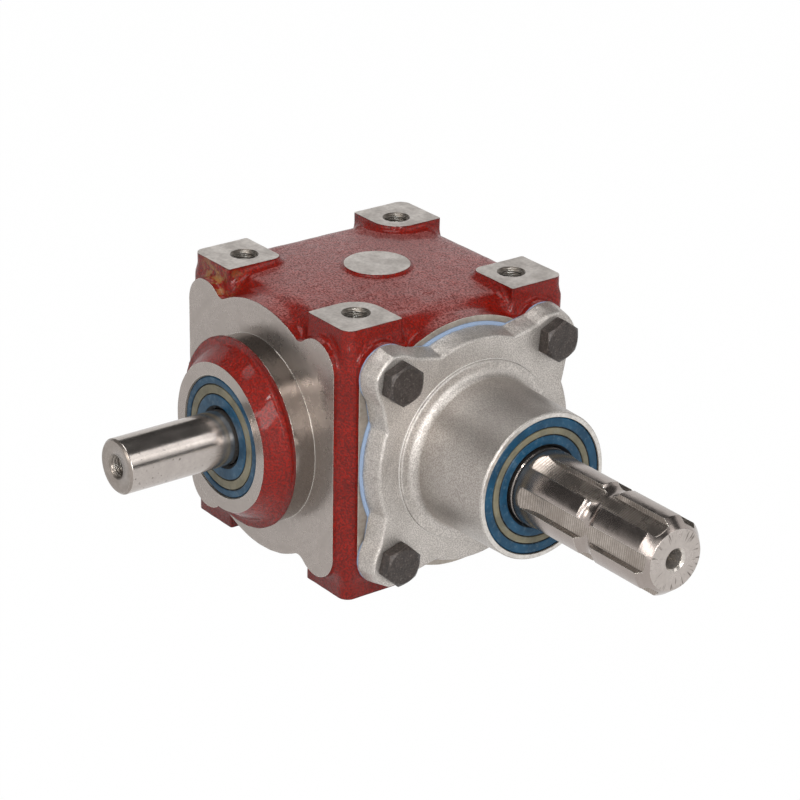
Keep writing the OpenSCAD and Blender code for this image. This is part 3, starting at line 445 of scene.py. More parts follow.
def tone_mix(tree, share, a, b):
    """Mixes two colours, or two colour sockets."""
    return shader_node(tree, "Mix", {0: share, 6: a, 7: b}, data_type="RGBA").outputs[2]


def noise(tree, where, scale, detail, rough):
    """A soft noise in the part's own frame; the scale counts cells per metre."""
    return shader_node(tree, "TexNoise", {"Vector": where, "Scale": scale, "Detail": detail,
                                          "Roughness": rough}).outputs["Fac"]


def rgb(r, g, b):
    """A colour in screen values from 0 to 255, turned to the linear form that shaders use."""
    return tuple(((v / 255 + 0.055) / 1.055) ** 2.4 if v > 10 else v / 255 / 12.92
                 for v in (r, g, b)) + (1,)


# Sand grain: pits, pimples and slow blotches of a cast surface under its paint or blast.
grain_group, grain_in, grain_out = effect(
    "sand_grain",
    [("Grain per m", "Float", 900.0), ("Blotch per m", "Float", 60.0)],
    [("Height", "Float"), ("Speckle", "Float"), ("Blotch", "Float")])
grain_at = own_place(grain_group)
fine_grain = noise(grain_group, grain_at, grain_in["Grain per m"], 3.0, 0.6)
slow_scale = times(grain_group, grain_in["Grain per m"], 0.28)
slow_grain = noise(grain_group, grain_at, slow_scale, 2.0, 0.5)
grain_height = arithmetic(grain_group, "MULTIPLY_ADD", slow_grain, 0.9, fine_grain)
grain_group.links.new(grain_height, grain_out["Height"])
speckle = ramp_between(grain_group, fine_grain, 0.40, 0.62)
grain_group.links.new(speckle, grain_out["Speckle"])
blotch = noise(grain_group, grain_at, grain_in["Blotch per m"], 4.0, 0.6)
grain_group.links.new(ramp_between(grain_group, blotch, 0.35, 0.65), grain_out["Blotch"])

# Edge mask: where the surface turns within a short reach, for wear and bright arrises.
edge_group, edge_in, edge_out = effect(
    "worn_edge", [("Reach", "Float", 0.0006)], [("Edge", "Float"), ("Normal", "Vector")])
rounded = shader_node(edge_group, "Bevel", samples=4)
edge_group.links.new(edge_in["Reach"], rounded.inputs["Radius"])
true_normal = shader_node(edge_group, "NewGeometry").outputs["Normal"]
likeness = shader_node(edge_group, "VectorMath", {0: rounded.outputs[0], 1: true_normal},
                       operation="DOT_PRODUCT").outputs["Value"]
edge_group.links.new(less(edge_group, likeness), edge_out["Edge"])
edge_group.links.new(rounded.outputs[0], edge_out["Normal"])

# Turning marks: fine rings about an axis, broken up by slow noise.
turning_group, turning_in, turning_out = effect(
    "turning_marks", [("Around", "Vector", None), ("Rings per m", "Float", 2500.0)],
    [("Height", "Float"), ("Tone", "Float")])
flat = shader_node(turning_group, "SeparateXYZ", {0: turning_in["Around"]}).outputs
ring_place = shader_node(turning_group, "CombineXYZ", {
    0: out_from_axis(turning_group, flat), 1: 0.0, 2: flat[2]}).outputs[0]
fine_rings = turning_in["Rings per m"]
wide_rings = times(turning_group, fine_rings, 0.2)
for rings, label in ((fine_rings, "Height"), (wide_rings, "Tone")):
    turning_group.links.new(noise(turning_group, ring_place, rings, 2.0, 0.6), turning_out[label])


def around_axis(tree, side, at=(0, 0)):
    """The part's own position, turned so that its third number runs along one side's axis."""
    centre = side @ (at[0], at[1], 0.0) * 0.001 + (0, 0, axis_h * 0.001)
    shifted = shader_node(tree, "VectorMath", {0: own_place(tree), 1: tuple(centre)},
                          operation="SUBTRACT").outputs[0]
    parts = [shader_node(tree, "VectorMath", {0: shifted, 1: tuple(side[:, k])},
                         operation="DOT_PRODUCT").outputs["Value"] for k in range(3)]
    return shader_node(tree, "CombineXYZ", {0: parts[0], 1: parts[1], 2: parts[2]}).outputs[0]


def sand_on(tree, grain, blotch):
    """Sand grain with that many pits and blotches per metre."""
    return shader_node(tree, "Group", {"Grain per m": grain, "Blotch per m": blotch},
                       node_tree=grain_group).outputs


def edge_on(tree, reach):
    """The edge mask and the softened normal for arrises of that reach in metres."""
    return shader_node(tree, "Group", {"Reach": reach}, node_tree=edge_group).outputs


def relief_of(tree, strength, depth, height, soft=None):
    """Bump of that depth in metres, laid on the softened normal where one is given."""
    under = {} if soft is None else {"Normal": soft}
    return shader_node(tree, "Bump", {"Strength": strength, "Distance": depth, "Height": height,
                                      **under}).outputs[0]


def spread(tree, value, low, high):
    """Lays a value from 0 to 1 out between two others."""
    return shader_node(tree, "MapRange", {"Value": value, "To Min": low, "To Max": high}).outputs[0]


def close_finish(tree, shade, rough, relief, plain=None):
    """Ends a finish in its one shader; plain values are set on the shader's own sockets."""
    skin = shader_node(tree, "BsdfPrincipled", {"Base Color": shade, "Roughness": rough,
                                                "Normal": relief, **(plain or {})})
    shader_node(tree, "OutputMaterial", {0: skin.outputs[0]})


red_paint, tree = new_finish("red_paint")
sand = sand_on(tree, 1150.0, 45.0)
edge = edge_on(tree, 0.0010)
where = own_place(tree)
shade = tone_mix(tree, sand["Blotch"], rgb(138, 20, 5), rgb(124, 16, 4))
# Painted shade: where the fine sand grain runs low, the red darkens to red-brown specks, standing
# in for the shade in the paint's fine relief.
shade = tone_mix(tree, times(tree, less(tree, sand["Speckle"]), 0.75), shade, rgb(66, 10, 5))
# Painted sheen, not dust: paint that faces straight up is lightened to a pale pink in grainy
# specks, standing in for the glossy sheen that the top shows.
normal = shader_node(tree, "NewGeometry").outputs["Normal"]
upward = ramp_between(tree, shader_node(tree, "SeparateXYZ", {0: normal}).outputs[2], 0.93, 0.992)
dust = times(tree, upward, arithmetic(tree, "MULTIPLY_ADD", sand["Speckle"], 0.30, 0.03))
shade = tone_mix(tree, dust, shade, rgb(206, 158, 154))
rim = ramp_between(tree, edge["Edge"], 0.03, 0.16)
shade = tone_mix(tree, times(tree, rim, 0.85), shade, rgb(46, 20, 16))
stain_at = (-0.040, -0.0590, 0.1190)  # an ochre stain below the pad over the output side
from_stain = shader_node(tree, "VectorMath", {0: where, 1: stain_at}, operation="DISTANCE")
near_stain = shader_node(tree, "MapRange", {"Value": from_stain.outputs["Value"],
                                            "From Min": 0.016, "From Max": 0.004}).outputs[0]
stain = times(tree, near_stain, ramp_between(tree, noise(tree, where, 260.0, 3.0, 0.6), 0.48, 0.60))
shade = tone_mix(tree, times(tree, stain, 0.6), shade, rgb(150, 120, 70))
close_finish(tree, shade, spread(tree, sand["Speckle"], 0.42, 0.26),
             relief_of(tree, 0.85, 0.0006, sand["Height"]),
             {"Coat Weight": 0.22, "Coat Roughness": 0.08, "Specular IOR Level": 0.15})


def bare_metal(name, light, dark, side, rings, depth, rough=(0.28, 0.40), swirl=(0, 0),
               mottle=0.4, metal_share=0.8, ripple=0.0, pits=0.0, scores=0.0):
    """Bare metal: turned or milled marks over mottled iron or steel. Rings are counted per
    metre about the swirl's centre; ripple, pits and scores are left out where they are 0."""
    finish, tree = new_finish(name)
    sand = sand_on(tree, 520.0, 110.0)
    edge = edge_on(tree, 0.0005)
    around = around_axis(tree, side, swirl)
    marks = shader_node(tree, "Group", {"Around": around, "Rings per m": rings},
                        node_tree=turning_group).outputs
    shade = tone_mix(tree, times(tree, sand["Blotch"], mottle), light, dark)
    shade = tone_mix(tree, times(tree, marks["Tone"], 0.45), shade, dark)
    shade = tone_mix(tree, times(tree, sand["Speckle"], mottle / 2), shade, rgb(92, 84, 78))
    bright = ramp_between(tree, edge["Edge"], 0.03, 0.15)
    shade = tone_mix(tree, bright, shade, rgb(222, 218, 210))
    height = arithmetic(tree, "MULTIPLY_ADD", sand["Height"], 0.35, marks["Height"])
    if pits:
        pitted = ramp_between(tree, noise(tree, own_place(tree), 620.0, 1.0, 0.5), 0.70, 0.74)
        shade = tone_mix(tree, times(tree, pitted, pits), shade, rgb(48, 38, 26))
        height = arithmetic(tree, "MULTIPLY_ADD", pitted, -0.6, height)
    if scores:
        flat = shader_node(tree, "SeparateXYZ", {0: around}).outputs
        turn = arithmetic(tree, "ARCTAN2", flat[1], flat[0])
        out = out_from_axis(tree, flat)
        polar = shader_node(tree, "CombineXYZ", {0: times(tree, turn, 0.014),
                                                 1: times(tree, out, 0.15), 2: 0.0}).outputs[0]
        scored = ramp_between(tree, noise(tree, polar, 900.0, 2.0, 0.6), 0.58, 0.66)
        scored = times(tree, scored, ramp_between(tree, out, 0.005, 0.012))
        shade = tone_mix(tree, times(tree, scored, scores), shade, rgb(84, 76, 70))
        height = arithmetic(tree, "MULTIPLY_ADD", scored, -0.8, height)
    if ripple:
        along = shader_node(tree, "SeparateXYZ", {0: around}).outputs[2]
        feed = 0.00125  # metres from one hob mark to the next
        wave = arithmetic(tree, "SINE", times(tree, along, 2 * math.pi / feed))
        # The feed marks are real ripples in the relief; the bands of darker colour along them are
        # painted shading of those ripples.
        shade = tone_mix(tree, arithmetic(tree, "MULTIPLY_ADD", wave, 0.36, 0.36), shade, dark)
        height = arithmetic(tree, "MULTIPLY_ADD", wave, ripple, height)
    close_finish(tree, shade, spread(tree, sand["Blotch"], *rough),
                 relief_of(tree, 0.5, depth, height, edge["Normal"]), {"Metallic": metal_share})
    return finish


milled_iron = bare_metal("milled_iron", rgb(209, 202, 195), rgb(164, 155, 148), on_top, 900.0,
                         0.00008, swirl=(0, 60))
faced_output = bare_metal("faced_iron_output", rgb(170, 161, 155), rgb(128, 119, 113), on_output,
                          1500.0, 0.00003, (0.24, 0.32), mottle=0.12)
# Turned pilot ring: a glossier turned finish, whose tone is darker than the faced iron as painted
# shade, standing in for the ring's dark reflection.
pilot_iron_painted_shade = bare_metal("pilot_iron_painted_shade", rgb(160, 151, 144), rgb(104, 96, 90), on_output, 1700.0,
                        0.00002, (0.14, 0.20), mottle=0.08, metal_share=0.96)
faced_input = bare_metal("faced_iron_input", rgb(180, 172, 162), rgb(130, 121, 112), on_input,
                         1500.0, 0.00006)
bored_iron = bare_metal("bored_iron", rgb(120, 112, 104), rgb(70, 64, 58), on_top, 1200.0, 0.0001)

points, quads = skin_of(housing_casting, (-67.37, -88.21, -67.37), (67, 67, 67), 0.8)
housing = piece_of("gearbox_housing", points, quads, [red_paint])


def slab(name, side, near, far, finish, half=90, lift=0.0):
    """A flat cutter over one side, between two depths; a lift moves it up off the axis."""
    corners = ((-half, -half), (half, -half), (half, half), (-half, half))
    points = np.array([(u, v + lift, depth) for depth in (near, far) for u, v in corners], float)
    faces = [(3, 2, 1, 0), (4, 5, 6, 7)]
    faces += [(k, (k + 1) % 4, 4 + (k + 1) % 4, 4 + k) for k in range(4)]
    return piece_of(name, points @ side.T, faces, [finish])


def facing_ring(name, near, far, hole):
    """A flat cutter over the output side that leaves a round boss standing."""
    half = 90
    return turned(name, [(near, hole), (near, half), (far, half), (far, hole)], on_output,
                  [faced_output], 240, ring=True)


def bored(name, side, profile, segments, at=(0, 0)):
    """A round cutter that leaves a bored wall."""
    return turned(name, profile, side, [bored_iron], segments, at=at)


def stepped(steps, end):
    """The profile of a stepped bore or shaft: each (start, radius) runs on to the next start."""
    starts = [start for start, radius in steps[1:]] + [end]
    return [(along, radius) for (start, radius), stop in zip(steps, starts)
            for along in (start, stop)]


def finish_where(piece, number, chosen):
    """Gives a finish by its number to the faces whose centre, in millimetres, is chosen."""
    for polygon in piece.data.polygons:
        x, y, z = polygon.center.x * 1000, polygon.center.y * 1000, polygon.center.z * 1000
        if chosen(x, y, z - axis_h):
            polygon.material_index = number


def tapped_hole(name, side, at, mouth, depth, core, outer, pitch, sink, finish, segments=40):
    """A drilled, tapped and countersunk hole: a thread that runs as a true helix."""
    turns = np.arange(segments) / segments
    rows_per_turn, drill_point, past = 6, core * 0.28, 0.8
    floor_at = mouth - depth
    profile = [(floor_at - drill_point, 0.05)]
    for level in np.linspace(floor_at, mouth, int(depth / pitch * rows_per_turn) + 1):
        phase = (level / pitch - turns) % 1
        cut = np.clip(1.6 - 4 * np.abs(phase - 0.5), 0, 1) ** 0.8
        thread = core / 2 + (outer - core) / 2 * cut
        thread = np.where(level < floor_at + pitch, core / 2, thread)
        profile.append((level, np.maximum(thread, sink / 2 - (mouth - level))))
    profile.append((mouth + past, sink / 2 + past))
    return turned(name, profile, side, [finish], segments, at=at)


seat_r, clip_r = 27.52, 28.5  # bearing and seal seat of the output side, circlip grooves
tail_seat_r, tail_clip_r = 21.02, 22
tools = [
    slab("face_top", on_top, face_at, 80, milled_iron),
    slab("face_base", on_base, face_at, 80, milled_iron),
    slab("face_input", on_input, face_at, 80, faced_input),
    facing_ring("face_output", face_at, pilot_back, pilot_r),
    facing_ring("face_pilot_step", pilot_back, pilot_back + 0.7, 41.2),
    slab("face_output_end", on_output, nose_at, 95, faced_output),
    slab("face_tail", on_tail, face_at, 80, faced_output),
    bored("bore_output", on_output, stepped([
        (24, seat_r), (57.1, clip_r), (59.1, seat_r), (72.1, clip_r), (74.1, seat_r)], 83.9)
        + [(nose_at, 28.1), (90, 28.1)], 160),
    bored("bore_tail", on_tail, stepped([
        (10, 18), (44, tail_seat_r), (56, tail_clip_r), (58, tail_seat_r)], 63)
        + [(face_at, 21.5), (70, 21.5)], 128),
    bored("bore_input", on_input, [(30, 48), (63, 48), (face_at, 48.5), (70, 48.5)], 200),
]
for sx in (-bolt_at, bolt_at):
    for sy in (-bolt_at, bolt_at):
        for name, side in (("tap_top", on_top), ("tap_base", on_base)):
            tools.append(tapped_hole(name, side, (sx, sy), face_at, 14, 10.2, 11.8, 1.75, 13,
                                     bored_iron))
        tools.append(bored("tap_cover", on_input, [(46, 5.1), (70, 5.1)], 32, (sx, sy)))
for lift in plug_lifts:
    for name, start, end, radius, segments in (
            ("spot_face", 62.9, 66, 13.9, 96), ("plug_tap", 53, 66, 8.3, 64),
            ("plug_duct", 25, 60, 5.5, 48)):
        tools.append(bored(name, on_plain, [(start, radius), (end, radius)], segments, (0, lift)))
machine(housing, tools)
# The pilot ring's own faces take that glossier finish, darker by painted shade.
housing.data.materials.append(pilot_iron_painted_shade)
finish_where(housing, len(housing.data.materials) - 1,
             lambda x, y, z: -73.6 < y < -63.55 and abs(math.hypot(x, z) - pilot_r) < 0.1)
smooth(housing)
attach(housing, "housing")
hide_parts("housing")


# Flange cover: a second grey-iron casting, shot blasted to an even silvery grain. Its
# flange has drafted sides and four bolt ears; the ring and the snout on it are turned.
cover_back, cover_front, snout_end = 64.0, 73.5, 119.5


def flange_casting(x, y, z):
    """Distance field of the flange with its drafted ears and straight webs."""
    slope = 2.0 * np.clip((x - cover_back) / (cover_front - cover_back), -0.2, 1.2)
    disc_r, ear_r = 54.0 - slope, lobe_r - slope
    disc = np.hypot(y, z) - disc_r
    ear = np.hypot(np.abs(y) - bolt_at, np.abs(z) - bolt_at) - ear_r
    u, v = np.minimum(np.abs(y), np.abs(z)), np.maximum(np.abs(y), np.abs(z))
    foot_u, tip_angle = 20.0, math.radians(75)
    foot_v = np.sqrt(disc_r ** 2 - foot_u ** 2)
    tip_u, tip_v = bolt_at + ear_r * math.cos(tip_angle), bolt_at + ear_r * math.sin(tip_angle)
    run_u, run_v = tip_u - foot_u, tip_v - foot_v
    web = ((v - foot_v) * run_u - (u - foot_u) * run_v) / np.hypot(run_u, run_v)
    web = np.maximum(web, (v * foot_u - u * foot_v) / np.hypot(foot_u, foot_v))
    web = np.maximum(web, (u + v - tip_u - tip_v) / math.sqrt(2))
    outline = round_or(np.minimum(disc, web), ear, 1.5)
    solid = round_and(outline, x - cover_front, 1.0)
    skin = sand_skin(x, y, z, 8, 0.05, 7)
    return np.maximum(solid + skin, cover_back - x)


def eased(corners, steps=5):
    """Rounds the corners of a profile; each corner is (along, radius, rounding)."""
    out = []
    count = len(corners)
    for k, (along, radius, rounding) in enumerate(corners):
        here = Vector((along, radius))
        if rounding == 0 or k in (0, count - 1):
            out.append((along, radius))
            continue
        before = (Vector(corners[k - 1][:2]) - here).normalized()
        after = (Vector(corners[k + 1][:2]) - here).normalized()
        half = before.angle(after) / 2
        reach = rounding / math.tan(half)
        middle = here + (before + after).normalized() * (rounding / math.sin(half))
        first, last = here + before * reach - middle, here + after * reach - middle
        for s in range(steps + 1):
            mixed = first.lerp(last, s / steps).normalized() * rounding + middle
            out.append((mixed.x, mixed.y))
    return out


def blasted_iron(name, light, dark, rough, depth):
    """Shot-blasted iron: fine even grain, with the arrises a little brighter."""
    finish, tree = new_finish(name)
    sand = sand_on(tree, 1700.0, 70.0)
    edge = edge_on(tree, 0.0008)
    shade = tone_mix(tree, sand["Blotch"], light, dark)
    pitted = times(tree, less(tree, sand["Speckle"]), 0.5)
    shade = tone_mix(tree, pitted, shade, rgb(112, 105, 100))
    bright = ramp_between(tree, edge["Edge"], 0.02, 0.12)
    shade = tone_mix(tree, bright, shade, rgb(240, 238, 234))
    close_finish(tree, shade, spread(tree, sand["Speckle"], rough[1], rough[0]),
                 relief_of(tree, 0.75, depth, sand["Height"], edge["Normal"]), {"Metallic": 0.8})
    return finish


blasted = blasted_iron("blasted_iron", rgb(206, 200, 194), rgb(192, 186, 180),
                       (0.36, 0.50), 0.00026)
# The snout's copy of the blasted finish is darker than the flange's by painted shade, standing in
# for the dark reflection on the snout.
blasted_snout_painted_shade = blasted_iron("blasted_snout_painted_shade", rgb(188, 182, 176), rgb(177, 170, 164),
                             (0.34, 0.45), 0.00014)
snout_rim = bare_metal("snout_rim", rgb(226, 222, 216), rgb(190, 184, 178), on_input, 1800.0,
                       0.00005, (0.28, 0.36))

points, quads = skin_of(flange_casting, (62.6, -58.3, -58.3), (76, 58, 58), 0.55)
cover = piece_of("cover_flange", points, quads, [blasted])
snout = turned("cover_snout", eased([
    (40.5, 46.9, 0), (41.5, 47.95, 0.2), (65, 47.95, 0), (68, 41.5, 0), (75, 41.5, 0.7),
    (75, 34.75, 4.0), (118.9, 33.51, 0.3), (119.9, 32.5, 0)], 8), on_input,
    [blasted, blasted_snout_painted_shade], 220)
# Faces out past the flange take the snout's darker copy, with its painted shade.
finish_where(snout, 1, lambda x, y, z: x > 80)
machine(cover, [snout], joined=True)
tools = [
    slab("face_snout", on_input, snout_end, 130, snout_rim),
    bored("bore_snout", on_input, stepped([(93.1, 31.02), (107.1, 32), (109.1, 31.02)], 119.2)
          + [(119.6, 31.4), (124, 31.4)], 200),
    bored("bore_middle", on_input, [(60, 28), (100, 28)], 160),
    bored("bore_gear_side", on_input, stepped([(38, 40.02), (43.5, 41.5), (45.5, 40.02)], 64), 180),
]
for sy in (-bolt_at, bolt_at):
    for sz in (-bolt_at, bolt_at):
        tools.append(bored("bolt_hole", on_input, [(46, 5.5), (80, 5.5)], 48, (sy, sz)))
machine(cover, tools)
smooth(cover, 28)
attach(cover, "housing")
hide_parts("flange_cover")


# Cover gasket: a pale blue fibre sheet, punched to the outline of the cover and a
# little larger, so that its cut edge shows all round between cover and housing.
gasket_sheet, tree = new_finish("gasket_sheet")
where = own_place(tree)
fibre = noise(tree, where, 2600.0, 3.0, 0.6)
stain = ramp_between(tree, noise(tree, where, 130.0, 3.0, 0.6), 0.45, 0.7)
shade = tone_mix(tree, fibre, rgb(120, 139, 166), rgb(148, 166, 192))
shade = tone_mix(tree, times(tree, stain, 0.3), shade, rgb(110, 125, 145))
close_finish(tree, shade, 0.8, relief_of(tree, 0.5, 0.0001, fibre))


def give_finish(names, finish):
    """Puts a finish on CAD nodes whose own shape is kept."""
    for name in names:
        node = frame["nodes"][name]
        node.data.materials.clear()
        node.data.materials.append(finish)


give_finish(["cover_gasket"], gasket_sheet)


# Cover bolts: four hot-forged hexagon bolts with a black oiled finish, a turned
# chamfer on the head and a washer face under it, pulled down at four chance angles.
black_bolt, tree = new_finish("black_bolt")
sand = sand_on(tree, 1200.0, 240.0)
edge = edge_on(tree, 0.0005)
shade = tone_mix(tree, sand["Blotch"], rgb(54, 47, 43), rgb(69, 61, 57))
shade = tone_mix(tree, times(tree, sand["Speckle"], 0.65), shade, rgb(34, 30, 29))
bright_specks = ramp_between(tree, noise(tree, own_place(tree), 800.0, 2.0, 0.6), 0.55, 0.72)
shade = tone_mix(tree, times(tree, bright_specks, 0.35), shade, rgb(126, 118, 112))
worn = ramp_between(tree, edge["Edge"], 0.03, 0.15)
shade = tone_mix(tree, times(tree, worn, 0.7), shade, rgb(110, 101, 94))
close_finish(tree, shade, spread(tree, sand["Blotch"], 0.30, 0.45),
             relief_of(tree, 0.7, 0.00035, sand["Height"], edge["Normal"]), {"Metallic": 0.35})
hex_segments = 96


def hex_head(seat, flats, height):
    """Rows of a hexagon head: flats below, a cone chamfer above that bites into the corners."""
    angle = np.arange(hex_segments) * 2 * math.pi / hex_segments
    reach = flats / 2 / np.cos((angle + math.pi / 6) % (math.pi / 3) - math.pi / 6)
    flat_r, fall = flats / 2 * 0.93, math.tan(math.radians(32))
    rows = [(seat, reach - 0.35), (seat + 0.3, reach)]
    for share in (1.0, 0.75, 0.5, 0.25, 0.0):
        radius = flat_r + (reach - flat_r) * share
        rows.append((seat + height - (radius - flat_r) * fall, radius))
    rows.append((seat + height, flat_r * 0.55))
    return rows


washer_face = cover_front + 0.4
bolt_rows = [(48.5, 4.2), (49.3, 5.0), (cover_front, 5.0), (cover_front, 7.8), (washer_face, 8.0)]
bolt_rows += hex_head(washer_face, 17, 6.0)
bolts = []
for side_y, side_z, degrees in ((1, -1, 12), (1, 1, 54), (-1, 1, -8), (-1, -1, 46)):
    bolts.append(turned("bolt", bolt_rows, on_input, [black_bolt], hex_segments,
                        at=(side_y * bolt_at, side_z * bolt_at), spin=math.radians(degrees)))
with bpy.context.temp_override(active_object=bolts[0], selected_editable_objects=bolts):
    bpy.ops.object.join()
bolt_set = smooth(bolts[0], 25)
bolt_set.name = bolt_set.data.name = "hex_bolts"
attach(bolt_set, "housing")
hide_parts("cover_bolts")


# Shaft seals: blue nitrile rubber moulded on a steel case, pressed in flush with the
# bore. A pale dust ring sits in a groove of the face; the lip runs on the shaft.
def moulded_rubber(name, light, dark, rough, grain):
    """Satin moulded rubber with a fine bloom."""
    finish, tree = new_finish(name)
    sand = sand_on(tree, grain, 120.0)
    edge = edge_on(tree, 0.0004)
    shade = tone_mix(tree, sand["Blotch"], light, dark)
    bloom = ramp_between(tree, noise(tree, own_place(tree), 420.0, 3.0, 0.6), 0.52, 0.7)
    shade = tone_mix(tree, times(tree, bloom, 0.2), shade, rgb(120, 140, 150))
    close_finish(tree, shade, spread(tree, sand["Blotch"], rough, rough + 0.12),
                 relief_of(tree, 0.3, 0.00008, sand["Height"], edge["Normal"]),
                 {"Specular IOR Level": 0.3})
    return finish


blue_rubber = moulded_rubber("blue_rubber", rgb(13, 66, 94), rgb(8, 52, 76), 0.36, 900.0)
black_rubber = moulded_rubber("black_rubber", rgb(24, 26, 30), rgb(14, 16, 19), 0.5, 900.0)
beige_ring = moulded_rubber("beige_ring", rgb(118, 112, 92), rgb(98, 94, 78), 0.45, 1200.0)


def shaft_seal(kind, side, body, face, shaft_r, bore_r, pale_in, pale_out, lip_r, mouth):
    """One seal with its dust ring; face is how far out its front lies along the axis. The
    profile runs from the back of the case over the face and its groove to the two lips."""
    case_r, rim_in, rim_out = bore_r - 2, pale_in - 0.55, pale_out + 0.55
    rubber = turned(kind + "_rubber", eased([
        (face - 10, bore_r, 0.2), (face - 0.5, bore_r, 0.3), (face, bore_r - 0.55, 0.25),
        (face, rim_out + 0.2, 0.2), (face - 0.35, rim_out, 0.1), (face - 0.35, pale_out + 0.3, 0.1),
        (face - 1.2, pale_out + 0.3, 0.1), (face - 1.2, pale_in - 0.3, 0.1),
        (face - 0.35, pale_in - 0.3, 0.1), (face - 0.35, rim_in, 0.1), (face, rim_in - 0.2, 0.2),
        (face, mouth + 1.1, 0.4), (face - 0.9, mouth + 0.3, 0.3), (face - 1.6, lip_r, 0.1),
        (face - 2.1, lip_r, 0.1), (face - 2.7, shaft_r + 0.5, 0.1),
        (face - 5.6, shaft_r + 0.05, 0.1), (face - 7.5, shaft_r + 0.5, 0.3),
        (face - 7.5, shaft_r + 2.5, 0.3), (face - 3, shaft_r + 2.5, 0.3), (face - 3, case_r, 0.3),
        (face - 10, case_r, 0)], 3), side, [blue_rubber, black_rubber], 180, ring=True)

    def deep_or_outer(x, y, z):
        across, up, along = np.array((x, y, z)) @ side
        return along < face - 0.25 or math.hypot(across, up) > bore_r - 0.25

    finish_where(rubber, 1, deep_or_outer)
    pale = turned(kind + "_dust_ring", eased([
        (face - 1.2, pale_out, 0.1), (face - 0.12, pale_out, 0.2), (face - 0.12, pale_in, 0.2),
        (face - 1.2, pale_in, 0.1)], 3), side, [beige_ring], 180, ring=True)
    for piece, node, slot in ((rubber, kind, "seal_rubber"),
                              (pale, kind + "_insert", "seal_insert")):
        smooth(piece, 40)
        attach(piece, body)
        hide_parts(node)


shaft_seal("input_seal", on_input, "housing", 119.1, 17.5, 30.98, 23.35, 26.15, 17.85, 18.0)
shaft_seal("output_seal", on_output, "housing", 84.1, 15.0, 27.48, 19.85, 23.7, 12.95, 13.4)


# Output shaft: turned from one steel bar with its pinion, ground on the free end,
# tapped and countersunk in its end face and milled with a round-ended keyway.
ground_steel = bare_metal("ground_steel", rgb(186, 178, 172), rgb(164, 156, 150), on_output,
                          2600.0, 0.00002, (0.17, 0.22), mottle=0.12, metal_share=0.95, pits=0.7)
thread_steel = bare_metal("thread_steel", rgb(150, 142, 134), rgb(84, 76, 70), on_output, 1200.0,
                          0.00005)
end_turned = bare_metal("end_turned", rgb(158, 149, 142), rgb(128, 119, 112), on_output, 1700.0,
                        0.00003, (0.26, 0.36), mottle=0.3)
shaft_end, shaft_r = 137.7, 12.5
cad_shaft = frame["nodes"]["output_shaft"]
inner_shaft = bpy.data.objects.new("output_shaft_bar", cad_shaft.data.copy())
scene.collection.objects.link(inner_shaft)
inner_shaft.data.materials.clear()
inner_shaft.data.materials.append(ground_steel)
# The CAD mesh is welded into one closed skin, so that it can be cut and joined.
skin = bmesh.new()
skin.from_mesh(inner_shaft.data)
bmesh.ops.remove_doubles(skin, verts=skin.verts, dist=1e-7)
skin.to_mesh(inner_shaft.data)
skin.free()
machine(inner_shaft, [slab("part_off", on_output, 80, 150, ground_steel)])
free_end = turned("free_end", eased([
    (79.5, 14.98, 0), (80.2, 14.98, 0), (81.2, shaft_r, 0.3), (shaft_end - 1, shaft_r, 0.3),
    (shaft_end, shaft_r - 1, 0.2), (shaft_end, 5, 0)], 4), on_output, [ground_steel], 200)
machine(inner_shaft, [free_end], joined=True)
# The keyway cutter has round ends and stands at an angle about the shaft.
key_start, key_end, key_floor, key_top, half = shaft_end - 45, shaft_end - 5, 8.5, 16, 4
half_turn = np.linspace(-math.pi / 2, math.pi / 2, 14)
outline = [(key_end - half + half * math.cos(a), half * math.sin(a)) for a in half_turn]
outline += [(key_start + half - half * math.cos(a), -half * math.sin(a)) for a in half_turn]
cos, sin = math.cos(math.radians(209)), math.sin(math.radians(209))
points = [(cos * r - sin * b, sin * r + cos * b, a)
          for r in (key_floor, key_top) for a, b in outline]
count = len(outline)
faces = [tuple(range(count)), tuple(reversed(range(count, 2 * count)))]
faces += [(k, count + k, count + (k + 1) % count, (k + 1) % count) for k in range(count)]
keyway = piece_of("keyway", np.array(points) @ on_output.T, faces, [thread_steel])
end_thread = tapped_hole("tap_shaft_end", on_output, (0, 0), shaft_end, 22, 8.5, 9.9, 1.5, 11.5,
                         thread_steel, 48)
machine(inner_shaft, [end_thread, keyway])
inner_shaft.data.materials.append(end_turned)
finish_where(inner_shaft, len(inner_shaft.data.materials) - 1,
             lambda x, y, z: y < 0.9 - shaft_end and math.hypot(x, z) > 5.7)
smooth(inner_shaft, 25)
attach(inner_shaft, "output_shaft")
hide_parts("output_shaft")


# Input shaft: turned and hardened, with six straight splines hobbed to full depth and
# run out in the curve of the cutter, a locking groove round them and a centre hole.
input_end, full_depth, cutter_r = 203.5, 66.0, 38.0
outer_r, chamfer_r, hole_r = 17.45, 13.5, 4.3
spline_steel = bare_metal("spline_steel", rgb(168, 158, 152), rgb(134, 124, 118), on_input, 2200.0,
                          0.00003, (0.18, 0.26), mottle=0.1, metal_share=0.95)
hobbed_steel = bare_metal("hobbed_steel", rgb(190, 181, 173), rgb(126, 115, 106), on_input, 2200.0,
                          0.00003, (0.20, 0.30), metal_share=0.9, ripple=0.3)
end_steel = bare_metal("end_steel", rgb(190, 182, 176), rgb(160, 151, 145), on_input, 1300.0,
                       0.00004, (0.26, 0.38), mottle=0.15, metal_share=0.85, scores=0.8)
hole_steel = bare_metal("hole_steel", rgb(214, 208, 201), rgb(140, 131, 123), on_input, 1300.0,
                        0.00004, (0.20, 0.30), metal_share=0.75)
groove_r, groove_out, groove_from_end, groove_half = 6.6, 21.5, 38, 5.21
